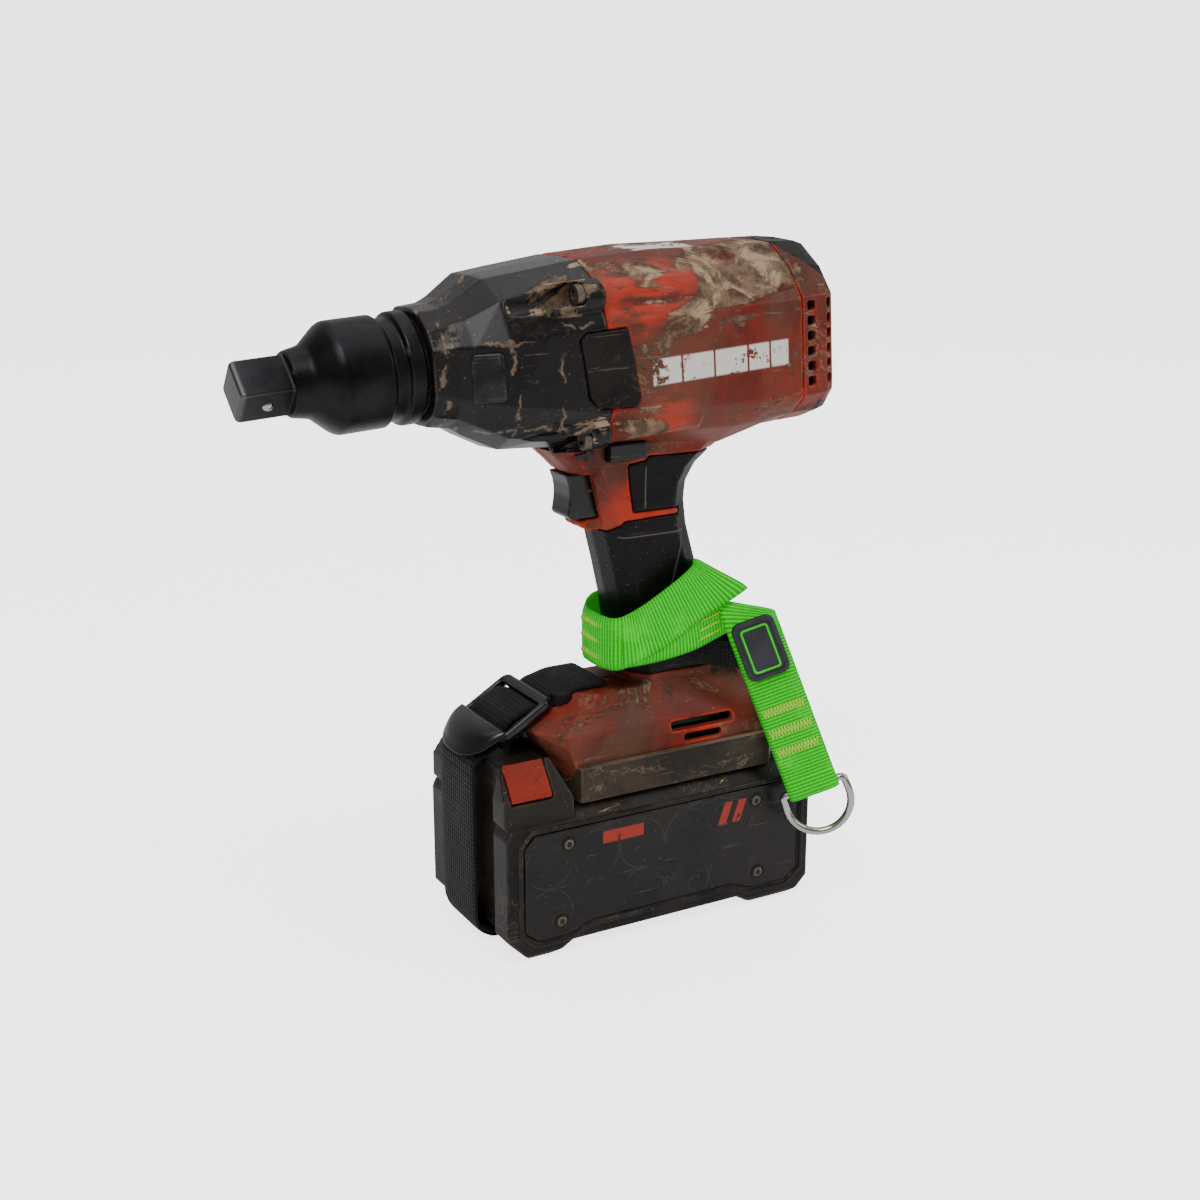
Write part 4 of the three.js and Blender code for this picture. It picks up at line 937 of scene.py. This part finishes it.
def stitches(name, runs, radius=0.38):
    """Short raised threads; each run is a list of [start, end, lift direction] in millimetres."""
    curve = bpy.data.curves.new(name, "CURVE")
    curve.dimensions = "3D"
    curve.bevel_depth = radius / 1000
    curve.bevel_resolution = 2
    curve.use_fill_caps = True
    for start, end, out in runs:
        line = curve.splines.new("POLY")
        line.points.add(4)
        for k in range(5):
            t = k / 4
            place = start.lerp(end, t) + out * (0.45 * math.sin(math.pi * t))
            line.points[k].co = (*(place / 1000), 1.0)
    curve.materials.append(THREAD)
    piece = bpy.data.objects.new(name, curve)
    bpy.context.collection.objects.link(piece)
    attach(piece, "body")
    return piece


# Three rows of zigzag across the tail.
STITCH_OUT = 1.75
rows = []
for down in (50.5, 61.5, 72.0):
    for k in range(13):
        left = -10.4 + k * 1.6
        turn = on_tail(down + 2.2, left + 0.8, STITCH_OUT)
        rows.append((on_tail(down - 2.2, left, STITCH_OUT), turn, tail_out))
        rows.append((turn, on_tail(down - 2.2, left + 1.6, STITCH_OUT), tail_out))
stitches("tail_stitching", rows)
# Three rows of zigzag round the front of the loop, which bends back on both sides of its foremost line.
FOREMOST = -9
rows = []
for level in (-7.6, 0.2, 8.0):
    for k in range(18):
        y = -21.0 + k * 1.3
        x = -22.0 + (0.012 if y < FOREMOST else 0.008) * (y - FOREMOST) ** 2
        start = BASE + Vector((x + 0.1, y, 141.3 + level - 1.5 * (-1) ** k))
        rows.append((start, start + Vector((0.0, 1.3, 3.0 * (-1) ** k)), Vector((-1.0, 0.0, 0.0))))
stitches("loop_stitching", rows, 0.42)
# Short slanting threads on the layer under the fold.
rows = []
for level in (-6.5, -2.0, 2.5):
    for k in range(6):
        start = BASE + Vector((27.0 + k * 1.9, -26.7 + 0.15 * k, 144.0 + 0.5 * k + level))
        rows.append((start, start + Vector((1.6, -0.1, 1.4)), Vector((0.0, -1.0, 0.0))))
stitches("under_stitching", rows, 0.34)


def d_ring():
    """Bent nickel wire: a bar, two legs and a half round."""
    curve = bpy.data.curves.new("steel_ring", "CURVE")
    curve.dimensions = "3D"
    curve.bevel_depth = 0.0019
    curve.bevel_resolution = 6
    reach, straight, bend = 16.1, 8.0, 2.4
    flat = [(-reach + bend, 0.0), (reach - bend, 0.0)]
    flat += [(reach - bend + bend * math.sin(a), bend - bend * math.cos(a)) for a in (0.5, 1.05)]
    half_turn = [math.pi * k / 20 for k in range(21)]
    flat += [(reach * math.cos(a), straight + reach * math.sin(a)) for a in half_turn]
    flat += [(-reach + bend - bend * math.sin(a), bend - bend * math.cos(a)) for a in (1.05, 0.5)]
    line = curve.splines.new("POLY")
    line.points.add(len(flat) - 1)
    for point, (across, down) in zip(line.points, flat):
        point.co = (*(on_tail(BAR + down, across, 0.0) / 1000), 1.0)
    line.use_cyclic_u = True
    curve.materials.append(NICKEL)
    piece = bpy.data.objects.new("steel_ring", curve)
    bpy.context.collection.objects.link(piece)
    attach(piece, "ring_body")
    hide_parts("d_ring")
    return piece


d_ring()

# ---- Guard, housing and battery details ----


def embossed_pads():
    """A raised square on each front side of the guard."""
    for side, label in ((-1, "left"), (1, "right")):
        low, high = on_barrel(-93.2, side * 33.2, 0) * 1000, on_barrel(-80.6, side * 39.8, 0) * 1000
        along = (high - low) * (-side)
        centre = (low + high) / 2 + UPWARD * -3.0
        place = plane_at(centre, along, UPWARD)
        reach = along.length / 2
        square = rounded_box(-reach, reach, -10.5, 10.5, 2.2)
        flat_shape(f"guard_emboss_{label}", [square], place, 3.0, 1.2, BOOT, "body")


embossed_pads()


def arrows():
    """A raised arrow on each end of the direction switch's housing."""
    outline = [
        (-5.5, -1.1), (0.5, -1.1), (0.5, -2.9), (5.5, 0.0), (0.5, 2.9), (0.5, 1.1), (-5.5, 1.1),
        (-4.6, 0.0)]
    for side, label in ((-1, "left"), (1, "right")):
        first = Vector((1.0, 0.0, 0.12)) * -side
        place = plane_at(BASE + Vector((-31.5, side * 19.9, 231.6)), first, UPRIGHT)
        flat_shape(f"direction_arrow_{label}", [outline], place, 0.7, 0.15, GLOSSY, "body")


arrows()


def star_outline(radius, depth=0.0, points=6, steps=48):
    """A circle whose radius rises and falls by depth at each point."""
    turns = [2 * math.pi * k / steps for k in range(steps)]
    reaches = [radius + depth * math.cos(points * a) for a in turns]
    return [(reach * math.cos(a), reach * math.sin(a)) for reach, a in zip(reaches, turns)]


def circle(radius):
    return star_outline(radius, steps=32)


def panel_screws():
    for side, label in ((-1, "left"), (1, "right")):
        for k, (x, z) in enumerate([(-52, 55), (52, 55.5), (-56, 17), (54, 17)]):
            place = plane_at(BASE + Vector((x, side * 41.1, z)), Vector((-side, 0.0, 0.0)), UPRIGHT)
            head = [circle(2.6), star_outline(1.25, 0.25)]
            flat_shape(f"panel_screw_{label}_{k + 1}", head, place, 1.0, 0.3, SCREW, "battery")
            rim = [circle(3.9), circle(2.9)]
            flat_shape(f"screw_rim_{label}_{k + 1}", rim, place, 1.2, 0.35, CASE, "battery")


panel_screws()


def air_baffle():
    """The dark ring inside the rear vents that guides air to the fan."""
    outline = [(71.5, 30.5), (90.5, 30.5), (90.5, 32.5), (71.5, 32.5)]
    points, faces = lathe(outline, on_barrel, 72)
    mesh_piece("air_baffle", points, faces, INNER, "body")
    points, faces = lathe([(88.5, 1.0), (90.0, 1.0), (90.0, 32.0), (88.5, 32.0)], on_barrel, 72)
    mesh_piece("baffle_back", points, faces, INNER, "body")


air_baffle()


def battery_bumper():
    """A raised lip that runs around each side panel."""
    outline = [
        (-78.6, 14), (-70, 6.4), (-51, 6.4), (-39, 10.8), (37, 10.8), (49, 6.4), (71.5, 6.4), (80.6, 14),
        (80.6, 58.4), (73.6, 65.8), (-71.6, 65.8), (-78.6, 58.4)]
    inner = [
        (-76.2, 14.6), (-68.6, 8.6), (-51.6, 8.6), (-39.6, 13), (37.6, 13), (49.6, 8.6), (70.6, 8.6),
        (78.2, 14.6), (78.2, 57.4), (72.6, 63.6), (-70.6, 63.6), (-76.2, 57.4)]
    for side, label in ((-1, "left"), (1, "right")):
        place = plane_at(BASE + Vector((0, side * 41.0, 0)), Vector((-side, 0.0, 0.0)), UPRIGHT)
        rings = [[(-side * x, z) for x, z in ring] for ring in (outline, inner)]
        flat_shape(f"panel_lip_{label}", rings, place, 2.0, 0.7, CASE, "battery")


battery_bumper()

# ---- Camera, floor and lights ----

camera = bpy.data.objects.new("camera", bpy.data.cameras.new("camera"))
camera.data.lens = 52.3
camera.data.sensor_width = 36.0
camera.location = at(-403.4, -693.7, 387.8)
camera.rotation_euler = (math.radians(90 - 16.2), 0.0, math.radians(-29.4))
bpy.context.collection.objects.link(camera)
bpy.context.scene.camera = camera


def floor():
    """A pale floor that curves up far behind the object."""
    facing = Vector((math.sin(math.radians(29.4)), math.cos(math.radians(29.4)), 0.0))
    side = Vector((facing.y, -facing.x, 0.0))
    centre = at(0, 0, 0)
    profile = [(-9.0, 0.0), (3.0, 0.0)]
    quarter = [math.pi * k / 24 for k in range(1, 13)]
    profile += [(3.0 + 2.0 * math.sin(a), 2.0 - 2.0 * math.cos(a)) for a in quarter]
    profile += [(5.0, 6.0)]
    points = [centre + facing * d + Vector((0, 0, h)) + side * w for d, h in profile for w in (-9.0, 9.0)]
    faces = [(2 * k, 2 * k + 1, 2 * k + 3, 2 * k + 2) for k in range(len(profile) - 1)]
    mesh = bpy.data.meshes.new("floor")
    mesh.from_pydata(points, [], faces)
    for polygon in mesh.polygons:
        polygon.use_smooth = True
    look = Look("floor")
    look.set(Base_Color=(0.9, 0.9, 0.9), Roughness=0.9)
    seen = look.tree.nodes.new("ShaderNodeLightPath").outputs["Is Camera Ray"]
    look.set(Emission_Color=(1.0, 1.0, 1.0, 1.0), Emission_Strength=look.plus(0.2, look.times(seen, 2.4)))
    mesh.materials.append(look.material)
    piece = bpy.data.objects.new("floor", mesh)
    bpy.context.collection.objects.link(piece)


floor()


def area_light(name, place, size, power):
    light = bpy.data.lights.new(name, "AREA")
    light.shape = "RECTANGLE"
    light.size, light.size_y = size
    light.energy = power
    piece = bpy.data.objects.new(name, light)
    piece.location = place
    target = at(0, 0, 170)
    piece.rotation_euler = (target - Vector(place)).to_track_quat("-Z", "Y").to_euler()
    bpy.context.collection.objects.link(piece)


area_light("key", (-0.7, -0.9, 1.5), (1.0, 0.8), 19)
area_light("over", (0.2, 0.1, 2.2), (3.0, 3.0), 38)
area_light("side", (1.3, -1.0, 0.8), (0.5, 1.0), 8)
world = bpy.data.worlds.new("studio")
bpy.context.scene.world = world
world.use_nodes = True
world.node_tree.nodes["Background"].inputs[0].default_value = (1.0, 1.0, 1.0, 1.0)
world.node_tree.nodes["Background"].inputs[1].default_value = 0.25
